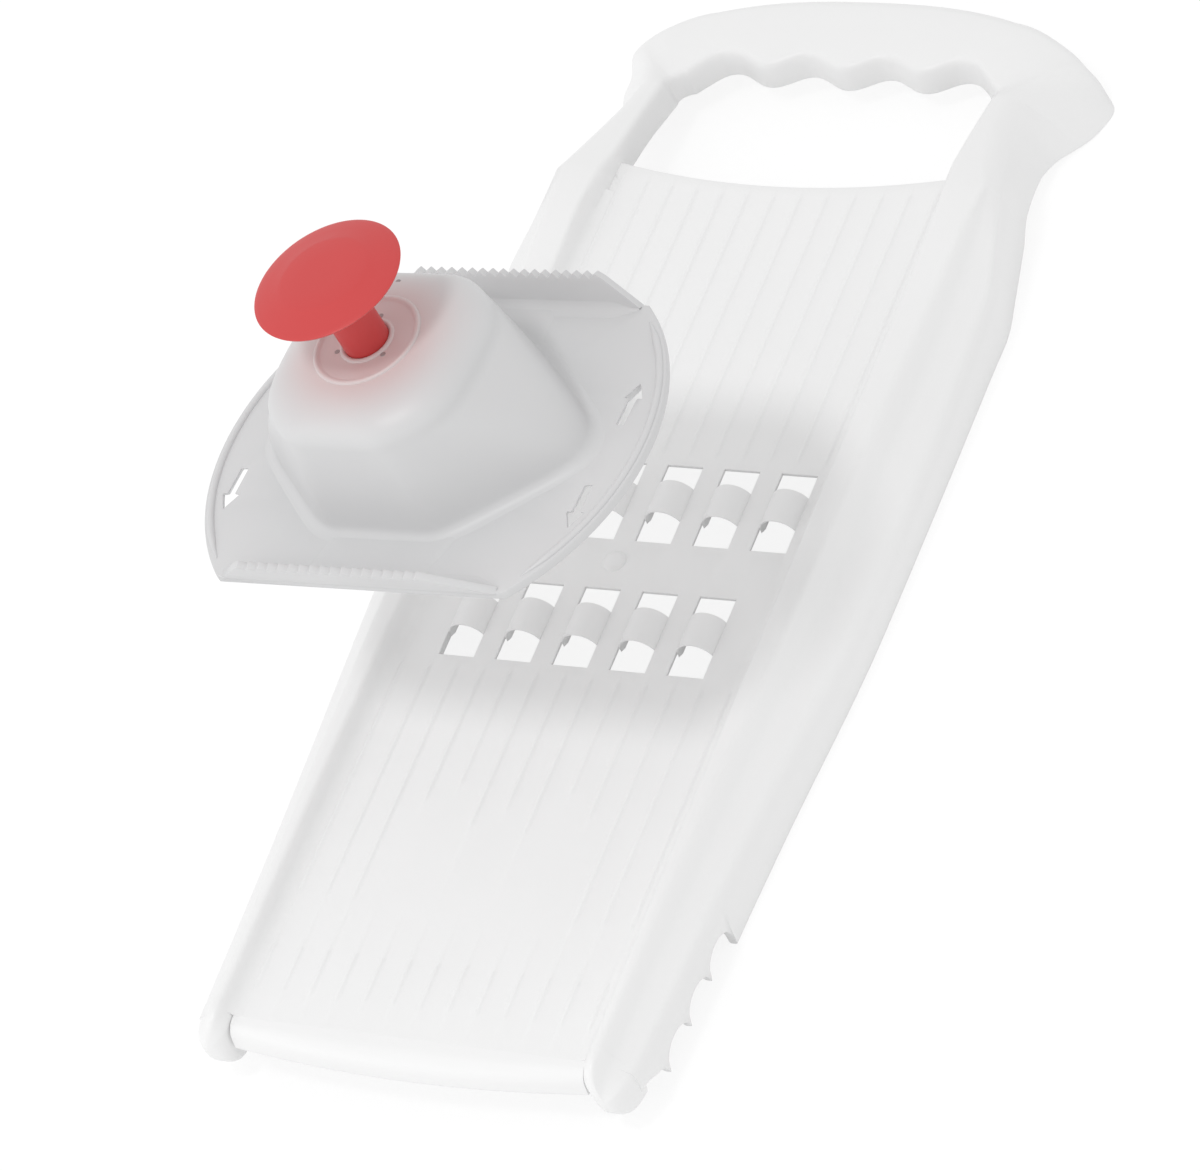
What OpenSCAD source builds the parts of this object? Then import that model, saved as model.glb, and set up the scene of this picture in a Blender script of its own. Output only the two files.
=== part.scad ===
// Julienne mandoline: a ribbed white board with two rows of half-round cutters, a hat-shaped
// food holder that slides on the board's rails, and a mushroom pusher in the holder's crown.
// Board frame: y = 0 at the centre boss, z = 0 on the sliding deck, +Y towards the hand grip.

/* [Deck] */
// Half width of the sliding deck, to the foot of the rails
deck_half = 48.2; // [44:0.1:60]
// Thickness of the moulded walls and of the deck
wall = 2.2; // [1.6:0.1:3]
// Height of the deck above the ground edges of the skirts
deck_height = 22; // [19:0.5:30]
// Length of the deck before the cutters
lower_deck_l = 110; // [90:1:160]
// Length of the deck behind the cutters, on the centreline
upper_deck_l = 91.6; // [70:1:140]
// Fall of the deck's rear edge towards its corners
rear_edge_bow = 5.5; // [2:0.5:8]
// Spacing of the fine ribs
rib_pitch = 7.6; // [5:0.1:12]
// Width of a fine rib
rib_w = 0.9; // [0.5:0.1:2]
// Height of a fine rib
rib_h = 0.45; // [0.2:0.05:0.8]
// Length of the short ribs near the front edge
short_rib_l = 14; // [8:1:20]
// Distance of the ribs from the cutters and from the deck's rear edge
rib_gap = 3; // [2:0.5:6]
// Distance from the front edge to the short ribs
short_rib_gap = 8; // [5:1:14]

/* [Cutters] */
// Plain edge between the outer slots and the rails
slot_edge = 3.2; // [2:0.1:6]
// Width of a slot
slot_w = 10; // [8:0.1:11]
// Length of a slot
slot_l = 24.2; // [20:0.1:30]
// Width of the plain band between the rows
band_w = 15; // [10:0.5:20]
// Distance of the band's rear edge from the centre boss
band_rear = 6.7; // [4:0.1:9]
// Slots in the lower row
lower_slots = 5; // [3:1:5]
// Slots in the upper row
upper_slots = 6; // [3:1:6]
// Length of a cutter arch
arch_l = 10; // [6:0.5:14]
// Rise of a cutter arch above the deck
arch_rise = 3.35; // [2.6:0.05:3.8]
// Thickness of a cutter arch
arch_t = 1; // [0.7:0.1:1.4]
// Radius of the centre boss
boss_r = 3.2; // [2:0.1:5]
// Height of the centre boss
boss_h = 0.9; // [0.4:0.1:2]

/* [Rails and skirts] */
// Height of the rails' flat top above the deck
rail_h = 5.3; // [4:0.1:8]
// Drop of the rails' top at the foot end
rail_foot_drop = 1; // [0:0.1:2]
// Outward draft of a rail's inner face
rail_draft = 2.3; // [1:0.1:4]
// Width of a rail's top at the foot
rail_w_foot = 2.2; // [2:0.1:4]
// Width of a rail's top at the centre boss
rail_w_mid = 6.3; // [4:0.1:9]
// Width of a rail's top where it widens into the arm
rail_w_rear = 8.8; // [6:0.1:11]
// Width of a rail's top at the arm
rail_w_neck = 10.7; // [8:0.1:13]
// Run of the flared skirt beyond the rail, at the foot
flare_foot = 6.6; // [4:0.1:10]
// Run of the flared skirt beyond the rail, at the centre boss
flare_mid = 11.2; // [8:0.1:14]
// Run of the flared skirt beyond the rail, near the arm
flare_rear = 9.6; // [7:0.1:12]
// Run of the flared skirt beyond the rail, at the arm
flare_neck = 3.2; // [2:0.1:6]
// Draw-in of the skirt's lower edge below its shoulder
hem_draw = 1.2; // [0:0.1:2]
// Spacing of the scallops in the skirts' lower edge
scallop_pitch = 13; // [10:0.5:15]
// Depth of a scallop
scallop_d = 5.5; // [3:0.5:7]
// Height of the scallops' cusps above the ground edge
cusp_rise = 3.4; // [2:0.1:5]
// Lift of the skirts' lower edge at the arms
hem_lift = 4.2; // [2:0.1:7]
// Thickness of the ground edge
hem_h = 1; // [0.5:0.1:2]
// Height of the front lip's drop below the deck
lip_drop = 7; // [5:0.5:10]
// Forward reach of the front lip at its ends
lip_reach = 5; // [3:0.5:7]
// Extra forward reach of the front lip at its middle
lip_bow = 3; // [0:0.5:5]
// Length of a foot beyond the end of its rail
foot_l = 7.5; // [5:0.5:12]
// Narrowing of a foot's round end on its outer side
foot_slim = 1.6; // [0:0.1:3]
// Depth of a foot below the deck
foot_drop = 15; // [12:0.5:18]
// Rounding of a foot's top and bottom
foot_round = 1.2; // [0.6:0.1:2]
// Length of a foot's flat face against the rail
foot_face = 1; // [0.5:0.1:2]

/* [Hand grip] */
// Distance from the deck's rear edge to the grip's wave line
hole_l = 46.1; // [40:0.5:60]
// Depth of the grip from its wave line to its rear edge
grip_d = 23.9; // [18:0.1:30]
// Drop of the grip's top below the deck
grip_drop = 4.4; // [2:0.1:7]
// Height of the grip's walls
grip_h = 8.4; // [6:0.2:11]
// Sag of the grip's bowed rear edge, from its middle to the deck's sides
grip_bow = 6.9; // [3:0.1:12]
// Spacing of the finger waves
wave_pitch = 22.6; // [18:0.2:26]
// Half height of the finger waves
wave_amp = 2.1; // [1:0.1:3]
// Half width across the wing tips
wing_half = 71.8; // [69:0.1:76]
// Width of an arm's top at its waist
waist_w = 4.8; // [4:0.1:8]
// Outward draft of an arm's wall at its waist
waist_draft = 10.4; // [8:0.1:13]
// Length of the waist before the wing
waist_l = 19; // [15:0.5:24]
// Height of the arms' inner walls
arm_wall_h = 9.6; // [7:0.2:11]

/* [Food holder] */
// Radius of the brim
brim_r = 59.6; // [55:0.1:70]
// Distance of the brim's straight edges from its centre
brim_half = 43.5; // [40:0.1:48]
// Thickness of the brim
brim_t = 2.4; // [1.6:0.1:3]
// Height of the toothed fences above the brim's mid-plane
fence_h = 9.8; // [6:0.1:12]
// Outward lean of the fences at their top
fence_lean = 3.8; // [1:0.1:5]
// Half length of a fence's toothed top
fence_top_half = 27.2; // [18:0.1:32]
// Shift of a fence's toothed top along its foot
fence_shift = 2.9; // [0:0.1:5]
// Shift of the brim's arrows towards the feet
arrow_shift = 1.9; // [0:0.1:4]
// Half length of a fence's foot
fence_foot_half = 39.2; // [34:0.1:40]
// Spacing of the fence teeth
tooth_pitch = 3; // [2:0.1:5]
// Height of the fence teeth
tooth_h = 1.4; // [0.8:0.1:2]
// Crown half width at its foot, across the rails
crown_rx = 46; // [40:0.5:48]
// Crown half width at its foot, along the rails
crown_ry = 29.8; // [26:0.1:34]
// Distance of the crown's slanting faces from its axis, at the foot
crown_diag = 33.4; // [28:0.1:38]
// Distance of the crown's flat front and rear faces from its axis, at the foot
crown_flat = 28.9; // [25:0.1:33]
// Lean of the flat faces from foot to shoulder
crown_flat_lean = 2.7; // [1:0.1:5]
// Spread of the crown's foot over the brim
crown_flare = 2.2; // [1:0.1:4]
// Height of the crown's top above the brim's mid-plane
crown_h = 36.6; // [30:0.1:44]
// Radius of the crown's round shoulder
crown_top_r = 28.8; // [20:0.1:31]
// Height of the round shoulder
shoulder_h = 8.8; // [4:0.1:11]
// Wall of the crown
crown_wall = 2; // [1.4:0.1:3]
// Radius of the ring bead on the crown's top
ring_r = 13.3; // [10:0.1:15]
// Height of the holder above the deck, at the brim's centre
hover_h = 89.7; // [60:0.5:120]
// Place of the holder along the board, from the centre boss
hover_y = -34.8; // [-60:0.2:40]
// Tilt of the lifted holder
hover_tilt = 6; // [0:0.1:12]

/* [Pusher] */
// Radius of the pusher's stem
stem_r = 5.6; // [4:0.1:7]
// Radial running clearance round the stem
stem_clear = 0.05; // [0.02:0.01:0.1]
// Radius of the pusher's knob
knob_r = 18.5; // [15:0.1:24]
// Height of the knob from its collar to its rim
knob_d = 6; // [4:0.1:9]
// Rise of the knob's crown above its rim
knob_rise = 2.6; // [1:0.1:5]
// Travel of the pusher, down to the neck ring
pusher_travel = 13.5; // [8:0.5:16]
// Radius of the plunger disc inside the crown
plunger_r = 15; // [12:0.1:16]
// Thickness of the plunger disc
plunger_t = 3; // [2:0.1:4]
// Gap from the raised plunger disc to the neck ring
plunger_gap = 0.6; // [0.3:0.1:3]
// Number of food pins under the plunger
pin_count = 6; // [3:1:8]
// Length of a food pin
pin_l = 7; // [4:0.5:9]
// Radius of a food pin
pin_r = 1.2; // [0.8:0.1:2]

/* [Hidden] */
$fn = 64;
LOWER_ARCHES = ["lower_arch_1", "lower_arch_2", "lower_arch_3", "lower_arch_4", "lower_arch_5"];
UPPER_ARCHES = ["upper_arch_1", "upper_arch_2", "upper_arch_3", "upper_arch_4", "upper_arch_5",
                "upper_arch_6"];

// Cutters spread over the deck
slot_pitch = (2 * (deck_half - slot_edge) - slot_w) / (upper_slots - 1);
// Lines across the board
band_front = band_rear - band_w;
lower_row_y = band_front - slot_l;
upper_row_y = band_rear + slot_l;
front_y = lower_row_y - lower_deck_l;
rear_y = upper_row_y + upper_deck_l;
neck_y = rear_y - 0.3 * rear_edge_bow;
wave_y = rear_y + hole_l;
back_y = wave_y + grip_d;
shoulder_y = rear_y - upper_deck_l / 3;
// Lines along the board
rail_in = deck_half + rail_draft;
arch_r = (pow(slot_w / 2, 2) + pow(arch_rise, 2)) / (2 * arch_rise);
arm_in = deck_half;
// Whole board, centred on its length
joint_gap = 0.05;
nose_y = front_y - max(foot_l + joint_gap, lip_reach + lip_bow);
board_shift = -(nose_y + back_y) / 2;
// Holder
tilt_axis = [-0.2243, -0.8938, -0.3884];
neck_t = crown_wall;
collar_h = 0.9;
knob_under_h = crown_h + collar_h + 0.4 + pusher_travel;
knob_rim_h = knob_under_h + knob_d;

module on_board() { translate([0, board_shift, deck_height]) children(); }
module on_holder() {
    on_board() translate([0, hover_y, hover_h]) rotate(a = hover_tilt, v = tilt_axis) children();
}
module both_sides(side) { mirror([side < 0 ? 1 : 0, 0, 0]) children(); }

// Triangles across the end of a loft, from its outer line to its inner one
function end_cap(n, at) = [for (i = [0:floor((n - 1) / 2) - 1])
    let (far = n - 2 - i)
    each concat(i + 1 < far ? [[at + i, at + i + 1, at + far]] : [], [[at + i, at + far, at + far + 1]])];
// Closed solid through a list of rings, each with the same number of points
module loft(rings) {
    n = len(rings[0]);
    m = len(rings);
    sides = [for (j = [0:m - 2], i = [0:n - 1])
        let (a = j * n + i, b = j * n + (i + 1) % n)
        each [[a, b + n, b], [a, a + n, b + n]]];
    polyhedron(points = [for (r = rings) each r], convexity = 8, faces = concat(end_cap(n, 0), sides,
        [for (f = end_cap(n, (m - 1) * n)) [f[2], f[1], f[0]]]));
}
// Closed shell whose last ring joins the first
module tube(rings) {
    n = len(rings[0]);
    m = len(rings);
    polyhedron(points = [for (r = rings) each r], convexity = 8,
        faces = [for (j = [0:m - 1], i = [0:n - 1])
            let (a = j * n + i, b = j * n + (i + 1) % n, c = (j + 1) % m * n)
            each [[a, b, c + (i + 1) % n], [a, c + (i + 1) % n, c + i]]]);
}
function ring_at(y, path) = [for (p = path) [p[0], y, p[1]]];

// Outline of rail and skirt along the board
function rail_w(y) = lookup(y, [[front_y, rail_w_foot], [0, rail_w_mid],
    [shoulder_y, rail_w_rear], [neck_y, rail_w_neck]]);
function rail_z(y) = lookup(y, [[front_y, rail_h - rail_foot_drop], [lower_row_y, rail_h],
    [shoulder_y, rail_h], [(shoulder_y + 2 * neck_y) / 3, 1.19 * rail_h], [neck_y, 1.11 * rail_h]]);
function rail_out(y) = rail_in + rail_w(y);
function flare(y) = lookup(y, [[front_y, flare_foot], [0, flare_mid], [shoulder_y, flare_rear],
    [neck_y, flare_neck]]);
function shoulder_z(y) = -lookup(y, [[front_y, 3], [lower_row_y, 5], [0, 6],
    [shoulder_y, 2.6], [neck_y, -2.3]]);
function shoulder_x(y) = rail_out(y) + flare(y);
function hem_x(y) = shoulder_x(y) - hem_draw * lookup(y, [[front_y, 0], [0, 1], [neck_y, 0]]);
scallop_front = front_y - 2;
scallop_rear = scallop_front + 4 * scallop_pitch;
function scallop(y) =
    let (u = (y - scallop_front) / scallop_pitch, v = 2 * (u - floor(u)) - 1)
    y > scallop_rear ? 0 : cusp_rise + scallop_d * sqrt(max(0, 1 - v * v))
        + lookup(y, [[front_y, 4], [front_y + scallop_pitch / 2, 0]]);
function hem_z(y) = -deck_height + lookup(y, [[scallop_rear, 0], [neck_y - ramp_l, 0], [neck_y, hem_lift]])
    + scallop(y);

// ---------- deck ----------
rib_count = floor((deck_half - 2 * rib_w) / rib_pitch);
// The smooth field before the cutters ends the ribs in steps
function rib_end(i) = lower_row_y - rib_h
    - lower_deck_l * (abs(i) > 3 ? 0.67 : 0.345 + 0.055 * ((abs(i) + 1) % 3));
module rib(i, y, length) {
    translate([i * rib_pitch - rib_w / 2, y, 0]) cube([rib_w, length, rib_h]);
}

module lower_deck() {
    color("white") on_board() {
        translate([-deck_half, front_y, -wall]) cube([2 * deck_half, lower_deck_l, wall]);
        for (i = [-rib_count:rib_count]) {
            rib(i, rib_end(i), lower_row_y - rib_gap - rib_end(i));
            rib(i, front_y + short_rib_gap, short_rib_l);
        }
    }
}

module rear_bow_cut(h) {
    r = (pow(deck_half, 2) + pow(rear_edge_bow, 2)) / (2 * rear_edge_bow);
    translate([0, rear_y + r, -h]) cylinder(r = r, h = 3 * h, $fn = 200);
}

module upper_deck() {
    color("white") on_board() difference() {
        union() {
            translate([-deck_half, upper_row_y, -wall])
                cube([2 * deck_half, upper_deck_l + rear_edge_bow, wall]);
            for (i = [-rib_count:rib_count])
                rib(i, upper_row_y + rib_gap, upper_deck_l - 2 * rib_gap + 1);
        }
        rear_bow_cut(wall * 2);
    }
}

module middle_band() {
    color("white") on_board() translate([-deck_half, band_front, -wall])
        cube([2 * deck_half, band_w, wall]);
}

module centre_boss() {
    color("white") on_board() {
        cylinder(r = boss_r, h = boss_h / 2);
        translate([0, 0, boss_h / 2]) cylinder(r1 = boss_r, r2 = boss_r - 1, h = boss_h / 2);
    }
}

module webs(count, y) {
    bar = slot_pitch - slot_w;
    first = -(count - 1) * slot_pitch / 2;
    side = deck_half + first - slot_w / 2;
    for (i = [0:count - 2])
        translate([first + i * slot_pitch + slot_w / 2, y, -wall]) cube([bar, slot_l, wall]);
    for (s = [-1, 1]) both_sides(s)
        translate([deck_half - side, y, -wall]) cube([side, slot_l, wall]);
}
module lower_webs() { color("white") on_board() webs(lower_slots, lower_row_y); }
module upper_webs() { color("white") on_board() webs(upper_slots, band_rear); }

module arch() {
    intersection() {
        translate([0, arch_l / 2, arch_rise - arch_r]) rotate([90, 0, 0]) difference() {
            cylinder(r = arch_r, h = arch_l);
            translate([0, 0, -1]) cylinder(r = arch_r - arch_t, h = arch_l + 2);
        }
        translate([-slot_w / 2, -arch_l / 2, -wall]) cube([slot_w, arch_l, wall + arch_rise + 1]);
    }
}
module arch_of_row(count, y, i) {
    color("white") on_board()
        translate([(i - (count - 1) / 2) * slot_pitch, y + slot_l / 2, 0]) arch();
}

// ---------- rails, skirts, lip and feet ----------
rail_ys = [front_y, front_y / 2, lower_row_y, 0, shoulder_y / 2, shoulder_y,
    (2 * shoulder_y + neck_y) / 3, (shoulder_y + 2 * neck_y) / 3, neck_y];
function rail_path(y) =
    let (x = rail_out(y), z = rail_z(y), xi = min(rail_in + wall, x - 1.3))
    [[deck_half, -wall], [deck_half, 0], [rail_in, z], [x, z], [x - 1.2, z - wall],
     [xi, z - wall], [deck_half + wall, -wall]];
module rail(side) {
    color("white") on_board() both_sides(side) loft([for (y = rail_ys) ring_at(y, rail_path(y))]);
}
module left_rail() { rail(-1); }
module right_rail() { rail(1); }

// Stations of the straight part, up to where the lower edge starts to lift
ramp_l = 0.75 * (neck_y - shoulder_y);
plain_l = neck_y - ramp_l - scallop_rear;
plain_ys = [for (i = [1:9]) scallop_rear + i * plain_l / 9];
skirt_ys = concat([for (i = [0:40]) front_y + i * (scallop_rear - front_y) / 40 ],
    [scallop_rear + joint_gap], plain_ys, [neck_y - ramp_l / 2, neck_y]);
// Point of a path moved inwards by the wall, square to its neighbours
function inner_point(path, i) = let (d = path[i + 1] - path[i - 1])
    path[i] + wall * [d[1], -d[0]] / norm(d);
function skirt_path(y) =
    let (x = rail_out(y), z = rail_z(y), xs = shoulder_x(y), zs = shoulder_z(y),
         zb = hem_z(y) + (scallop(y) > 0 ? 0 : hem_h), xb = hem_x(y), xm = xs + 0.5,
         zm = max(zs - 5, (zs + zb) / 2),
         out = [[x, z], [x + 0.3 * (xs - x), z + 0.64 * (zs - z)],
            [x + 0.7 * (xs - x), z + 0.86 * (zs - z)], [xs, zs], [xm, zm], [xb, zb]],
         a = inner_point(out, 1), b = inner_point(out, 3))
    concat(out, [[xb - wall, zb], [xm - wall, zm], b, (a + b) / 2, a, [x - 1.2, z - wall]]);
hem_ys = concat([scallop_rear + joint_gap], plain_ys);
module skirt(side) {
    color("white") on_board() both_sides(side)
        loft([for (y = skirt_ys) ring_at(y, skirt_path(y))]);
}
// Ground edge under the straight part of a skirt
module hem(side) {
    color("white") on_board() both_sides(side)
        translate([0, 0, -deck_height]) linear_extrude(hem_h) polygon(concat(
            [for (y = hem_ys) [hem_x(y), y]],
            [for (i = [len(hem_ys) - 1:-1:0]) [hem_x(hem_ys[i]) - wall, hem_ys[i]]]));
}
module left_skirt() { skirt(-1); }
module right_skirt() { skirt(1); }
module left_hem() { hem(-1); }
module right_hem() { hem(1); }

function lip_y(x) = front_y - lip_reach - lip_bow * (1 - pow(x / deck_half, 2));
module front_lip() {
    steps = 12;
    color("white") on_board() loft([for (i = [0:steps])
        let (x = -deck_half + 2 * deck_half * i / steps, y = lip_y(x), b = front_y)
        [for (p = [[b, 0], [b - (b - y) * 0.55, -0.7], [y + 0.7, -2.6], [y, -lip_drop],
                   [y + wall, -lip_drop], [y + 0.7 + wall, -3.4], [b - (b - y) * 0.55 + 0.4, -2.7],
                   [b, -wall]]) [x, p[0], p[1]]]]);
}

// Bull-nosed end of a rail, an ellipse in plan
module foot_slice(z, h, inset) {
    half = (rail_in + rail_w_foot + flare_foot - deck_half) / 2;
    translate([deck_half + half - foot_slim / 2, front_y - foot_l / 2 - joint_gap, z])
        scale([half - foot_slim / 2 - inset, foot_l / 2 - inset, 1]) cylinder(r = 1, h = h);
}
module foot(side) {
    top = rail_h - rail_foot_drop;
    half = (rail_in + rail_w_foot + flare_foot - deck_half) / 2;
    end = front_y - foot_face;
    color("white") on_board() both_sides(side) hull() {
        foot_slice(1 - foot_drop, 1, foot_round);
        foot_slice(2 * foot_round - foot_drop, foot_drop - 5 * foot_round, 0);
        foot_slice(top - 3 * foot_round, 2 * foot_round, foot_round);
        translate([deck_half, end, -wall]) cube([2 * half, foot_face, foot_face]);
        translate([deck_half, end, -foot_drop * 2 / 3]) cube([2 * half, foot_face, foot_face]);
        translate([rail_in, end, top - foot_face]) cube([rail_w_foot, foot_face, foot_face]);
    }
}
module left_foot() { foot(-1); }
module right_foot() { foot(1); }

// ---------- arms, grip and wings ----------
// Each line of an arm runs from the rail's end over the waist to the wing's tip
arm_end = wave_y - waist_l;
arm_l = arm_end - neck_y;
wing_l = back_y - arm_end;
function arm_s(y) = y < arm_end ? (y - neck_y) / arm_l : 1 + (y - arm_end) / wing_l;
function arm_top(y) = lookup(arm_s(y), [[0, rail_z(neck_y)], [0.77, rail_h / 3], [1, 0],
    [1.33, -grip_drop * 0.77], [1.55, -grip_drop]]);
function arm_ridge(y) = arm_in + lookup(arm_s(y), [[0, rail_out(neck_y) - arm_in],
    [0.35, 2.1 * waist_w], [0.77, 1.4 * waist_w], [1, waist_w], [1.33, 1.1 * waist_w],
    [1.48, 1.6 * waist_w], [1.6, 2.7 * waist_w], [2, 3.3 * waist_w]]);
function arm_brow(y) = arm_ridge(y) + lookup(arm_s(y), [[0, flare_neck], [1, flare_neck],
    [1.33, flare_neck * 1.16], [2, flare_neck * 1.3]]);
function arm_foot(y) = lookup(arm_s(y), [[0, hem_x(neck_y)], [0.45, arm_in + 1.4 * waist_draft],
    [0.77, arm_in + 1.34 * waist_draft], [1, arm_in + waist_w + waist_draft],
    [1.17, (arm_in + waist_w + waist_draft + wing_half) / 2 - 0.1 * waist_draft],
    [1.33, wing_half - 0.2 * waist_draft], [1.48, wing_half], [2, wing_half]]);
function arm_foot_z(y) = -deck_height + lookup(arm_s(y), [[0, hem_lift], [0.45, 1.33 * hem_lift],
    [0.9, 0.95 * hem_lift], [1.17, 0.24 * hem_lift], [1.31, 0]]);
function arm_path(y, g = 0) =
    let (top = arm_top(y) - g, low = top + g - arm_wall_h)
    [[arm_in + g, low], [arm_in + g, top], [arm_ridge(y) - g * 0.7, top],
     [arm_brow(y) - g, top - 0.3 * arm_wall_h - g * 0.3], [arm_foot(y) - g, arm_foot_z(y)]];
function arm_shell(y) = concat(arm_path(y), [for (i = [4:-1:0]) arm_path(y, wall)[i]]);
module arm(side) {
    color("white") on_board() both_sides(side)
        loft([for (i = [0:5]) let (y = neck_y + i * arm_l / 5) ring_at(y, arm_shell(y))]);
}
module left_arm() { arm(-1); }
module right_arm() { arm(1); }

// Line of the grip's rear edge, bowed more and more towards the wing tips
function grip_back(x) = back_y - grip_bow * pow(abs(x) / deck_half, 2.6);
module rear_prism(inset) {
    edge = wing_half + 1;
    translate([0, 0, -deck_height - 1]) linear_extrude(deck_height + rail_h + 1)
        polygon(concat([[-edge, arm_end - 1], [edge, arm_end - 1]],
            [for (i = [18:-1:-18]) let (x = i * edge / 18) [x, grip_back(x) - inset]]));
}
// Section of a wing, closed along the ground for the outer body or its cavity
function wing_path(y, g) = let (p = arm_path(y, g), z = arm_foot_z(y))
    [[p[1][0], z], p[1], p[2], p[3], p[4]];
module wing_body(g) {
    ys = [for (t = [0, 0.09, 0.17, 0.24, 0.33, 0.48, 0.6, 1]) arm_end + t * wing_l];
    intersection() {
        loft([for (y = ys) ring_at(y, wing_path(y, g))]);
        rear_prism(g);
    }
}
module wing(side) {
    color("white") on_board() both_sides(side) difference() {
        wing_body(0);
        translate([0, -wall / 10, -wall / 10]) wing_body(wall);
        translate([arm_in - wall / 2, arm_end - 1, -deck_height - 1])
            cube([1.5 * wall + joint_gap, wing_l + 2, deck_height - grip_drop - grip_h + 1]);
    }
}
module left_wing() { wing(-1); }
module right_wing() { wing(1); }

function wave(x) = wave_y - wave_amp * cos(360 * x / wave_pitch)
    - 1.25 * pow(max(0, abs(x) - 1.6 * wave_pitch), 2) / wave_pitch;
function grip_outline(inset) = concat(
    [for (i = [-24:24]) let (x = i * arm_in / 24) [x, wave(x) + inset]],
    [for (i = [12:-1:-12]) let (x = i * arm_in / 12) [x, grip_back(x) - inset]]);
module hand_grip() {
    color("white") on_board() translate([0, 0, -grip_drop - grip_h]) difference() {
        linear_extrude(grip_h) polygon(grip_outline(0));
        translate([0, 0, -1]) linear_extrude(grip_h + 1 - wall) polygon(grip_outline(wall));
    }
}

// ---------- food holder ----------
module brim_outline() {
    intersection() {
        circle(r = brim_r, $fn = 180);
        square([2 * brim_r, 2 * brim_half], center = true);
    }
}
// Direction arrow, pointing along +Y, cut through the brim
module arrow() {
    translate([-0.9, -6]) square([1.8, 8]);
    polygon([[-2.1, 2], [2.1, 2], [0, 6]]);
}
arrow_x = (crown_rx + brim_r) / 2 - 3.4;
arrow_y = 0.35 * brim_half;
module holder_brim() {
    color("gainsboro") on_holder() translate([0, 0, -brim_t / 2]) linear_extrude(brim_t)
        difference() {
            brim_outline();
            polygon([for (p = crown_ring(0, crown_wall)) [p[0], p[1]]]);
            for (sx = [-1, 1]) for (sy = [-1, 1])
                translate([sx * arrow_x, sy * arrow_y - arrow_shift]) rotate(sy < 0 ? 180 : 0) arrow();
        }
}

// Direction of each crown face and its distance from the axis; t is 0 at the foot, 1 at the shoulder
function crown_faces(t) = let (
        side = crown_rx + (0.94 * crown_top_r - crown_rx) * pow(t, 1.4),
        slant = crown_diag + (1.02 * crown_top_r - crown_diag) * pow(t, 1.2),
        end = crown_ry + (crown_top_r - crown_ry) * t)
    [[0, side], [50, slant], [90, end], [130, slant], [180, side], [230, slant], [270, end],
     [310, slant]];
function crown_reach(a, t) = let (n = 10 - t, c = [for (f = crown_faces(t)) max(0, cos(a - f[0])) / f[1]],
        sum = [for (v = c) pow(v, n)] * [for (v = c) 1])
    min(pow(sum, -1 / n), (crown_flat - crown_flat_lean * t) / max(abs(sin(a)), 0.1));
crown_steps = 48;
shoulder_power = 0.97;
shoulder_at = crown_h - shoulder_h;
// Ring of the crown's wall at a share t of its height, moved in by g
function crown_ring(t, g = 0, out = 0) = [for (i = [0:crown_steps - 1])
    let (a = 360 * (i + 0.5) / crown_steps, r = crown_reach(a, t) - g + out)
    [r * cos(a), r * sin(a), brim_t / 2 + t * (shoulder_at - brim_t / 2)]];
// Ring of the round shoulder at angle u, moved in by g
function shoulder_ring(u, g = 0) = let (mouth = ring_r / cos(180 / crown_steps))
    [for (i = [0:crown_steps - 1])
        let (a = 360 * (i + 0.5) / crown_steps,
             r = mouth + (crown_reach(a, 1) - g - mouth) * pow(cos(u), shoulder_power))
        [r * cos(a), r * sin(a), shoulder_at - g * sin(u) + shoulder_h * pow(sin(u), shoulder_power)]];
module holder_dome() {
    shares = [0.12, 0.35, 0.6, 0.8, 1];
    bends = [30, 60, 90];
    rings = concat([crown_ring(0, 0, crown_flare), crown_ring(0.045, 0, 0.2 * crown_flare)],
        [for (t = shares) crown_ring(t)], [for (u = bends) shoulder_ring(u)],
        [for (i = [2:-1:0]) shoulder_ring(bends[i], crown_wall)],
        [for (i = [4:-1:0]) crown_ring(shares[i], crown_wall)], [crown_ring(0, crown_wall)]);
    color("gainsboro") on_holder() tube(rings);
}
module neck_ring() {
    bore = stem_r + stem_clear;
    color("gainsboro") on_holder() difference() {
        union() {
            translate([0, 0, crown_h - neck_t]) cylinder(r = ring_r, h = neck_t, $fn = 96);
            translate([0, 0, crown_h]) cylinder(r = ring_r, h = 0.6, $fn = 96);
            translate([0, 0, crown_h]) cylinder(r = bore + 2.2, h = collar_h, $fn = 96);
        }
        translate([0, 0, crown_h - 2 * neck_t]) cylinder(r = bore, h = 4 * neck_t, $fn = 96);
        translate([0, 0, crown_h]) difference() {
            cylinder(r = ring_r - 1.1, h = 1, $fn = 96);
            translate([0, 0, -1]) cylinder(r = bore + 2.2, h = 3, $fn = 96);
        }
    }
}

teeth = floor(2 * fence_top_half / tooth_pitch);
module fence(side) {
    tooth0 = fence_shift - teeth * tooth_pitch / 2;
    lean = atan(fence_lean / fence_h);
    outline = concat([[-fence_foot_half, -2], [fence_foot_half, -2],
        [fence_shift + fence_top_half, fence_h - tooth_h]],
        [for (i = [teeth - 1:-1:0]) each [[tooth0 + (i + 0.5) * tooth_pitch, fence_h],
            [tooth0 + i * tooth_pitch, fence_h - tooth_h]]]);
    color("gainsboro") on_holder() rotate(side < 0 ? 180 : 0) intersection() {
        translate([0, brim_half, 0]) rotate([-lean, 0, 0]) rotate([90, 0, 0])
            linear_extrude(crown_wall) polygon(outline);
        translate([-brim_r, 0, brim_t / 2]) cube([2 * brim_r, 2 * brim_half, 2 * fence_h]);
    }
}
module front_fence() { fence(-1); }
module rear_fence() { fence(1); }

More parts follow.
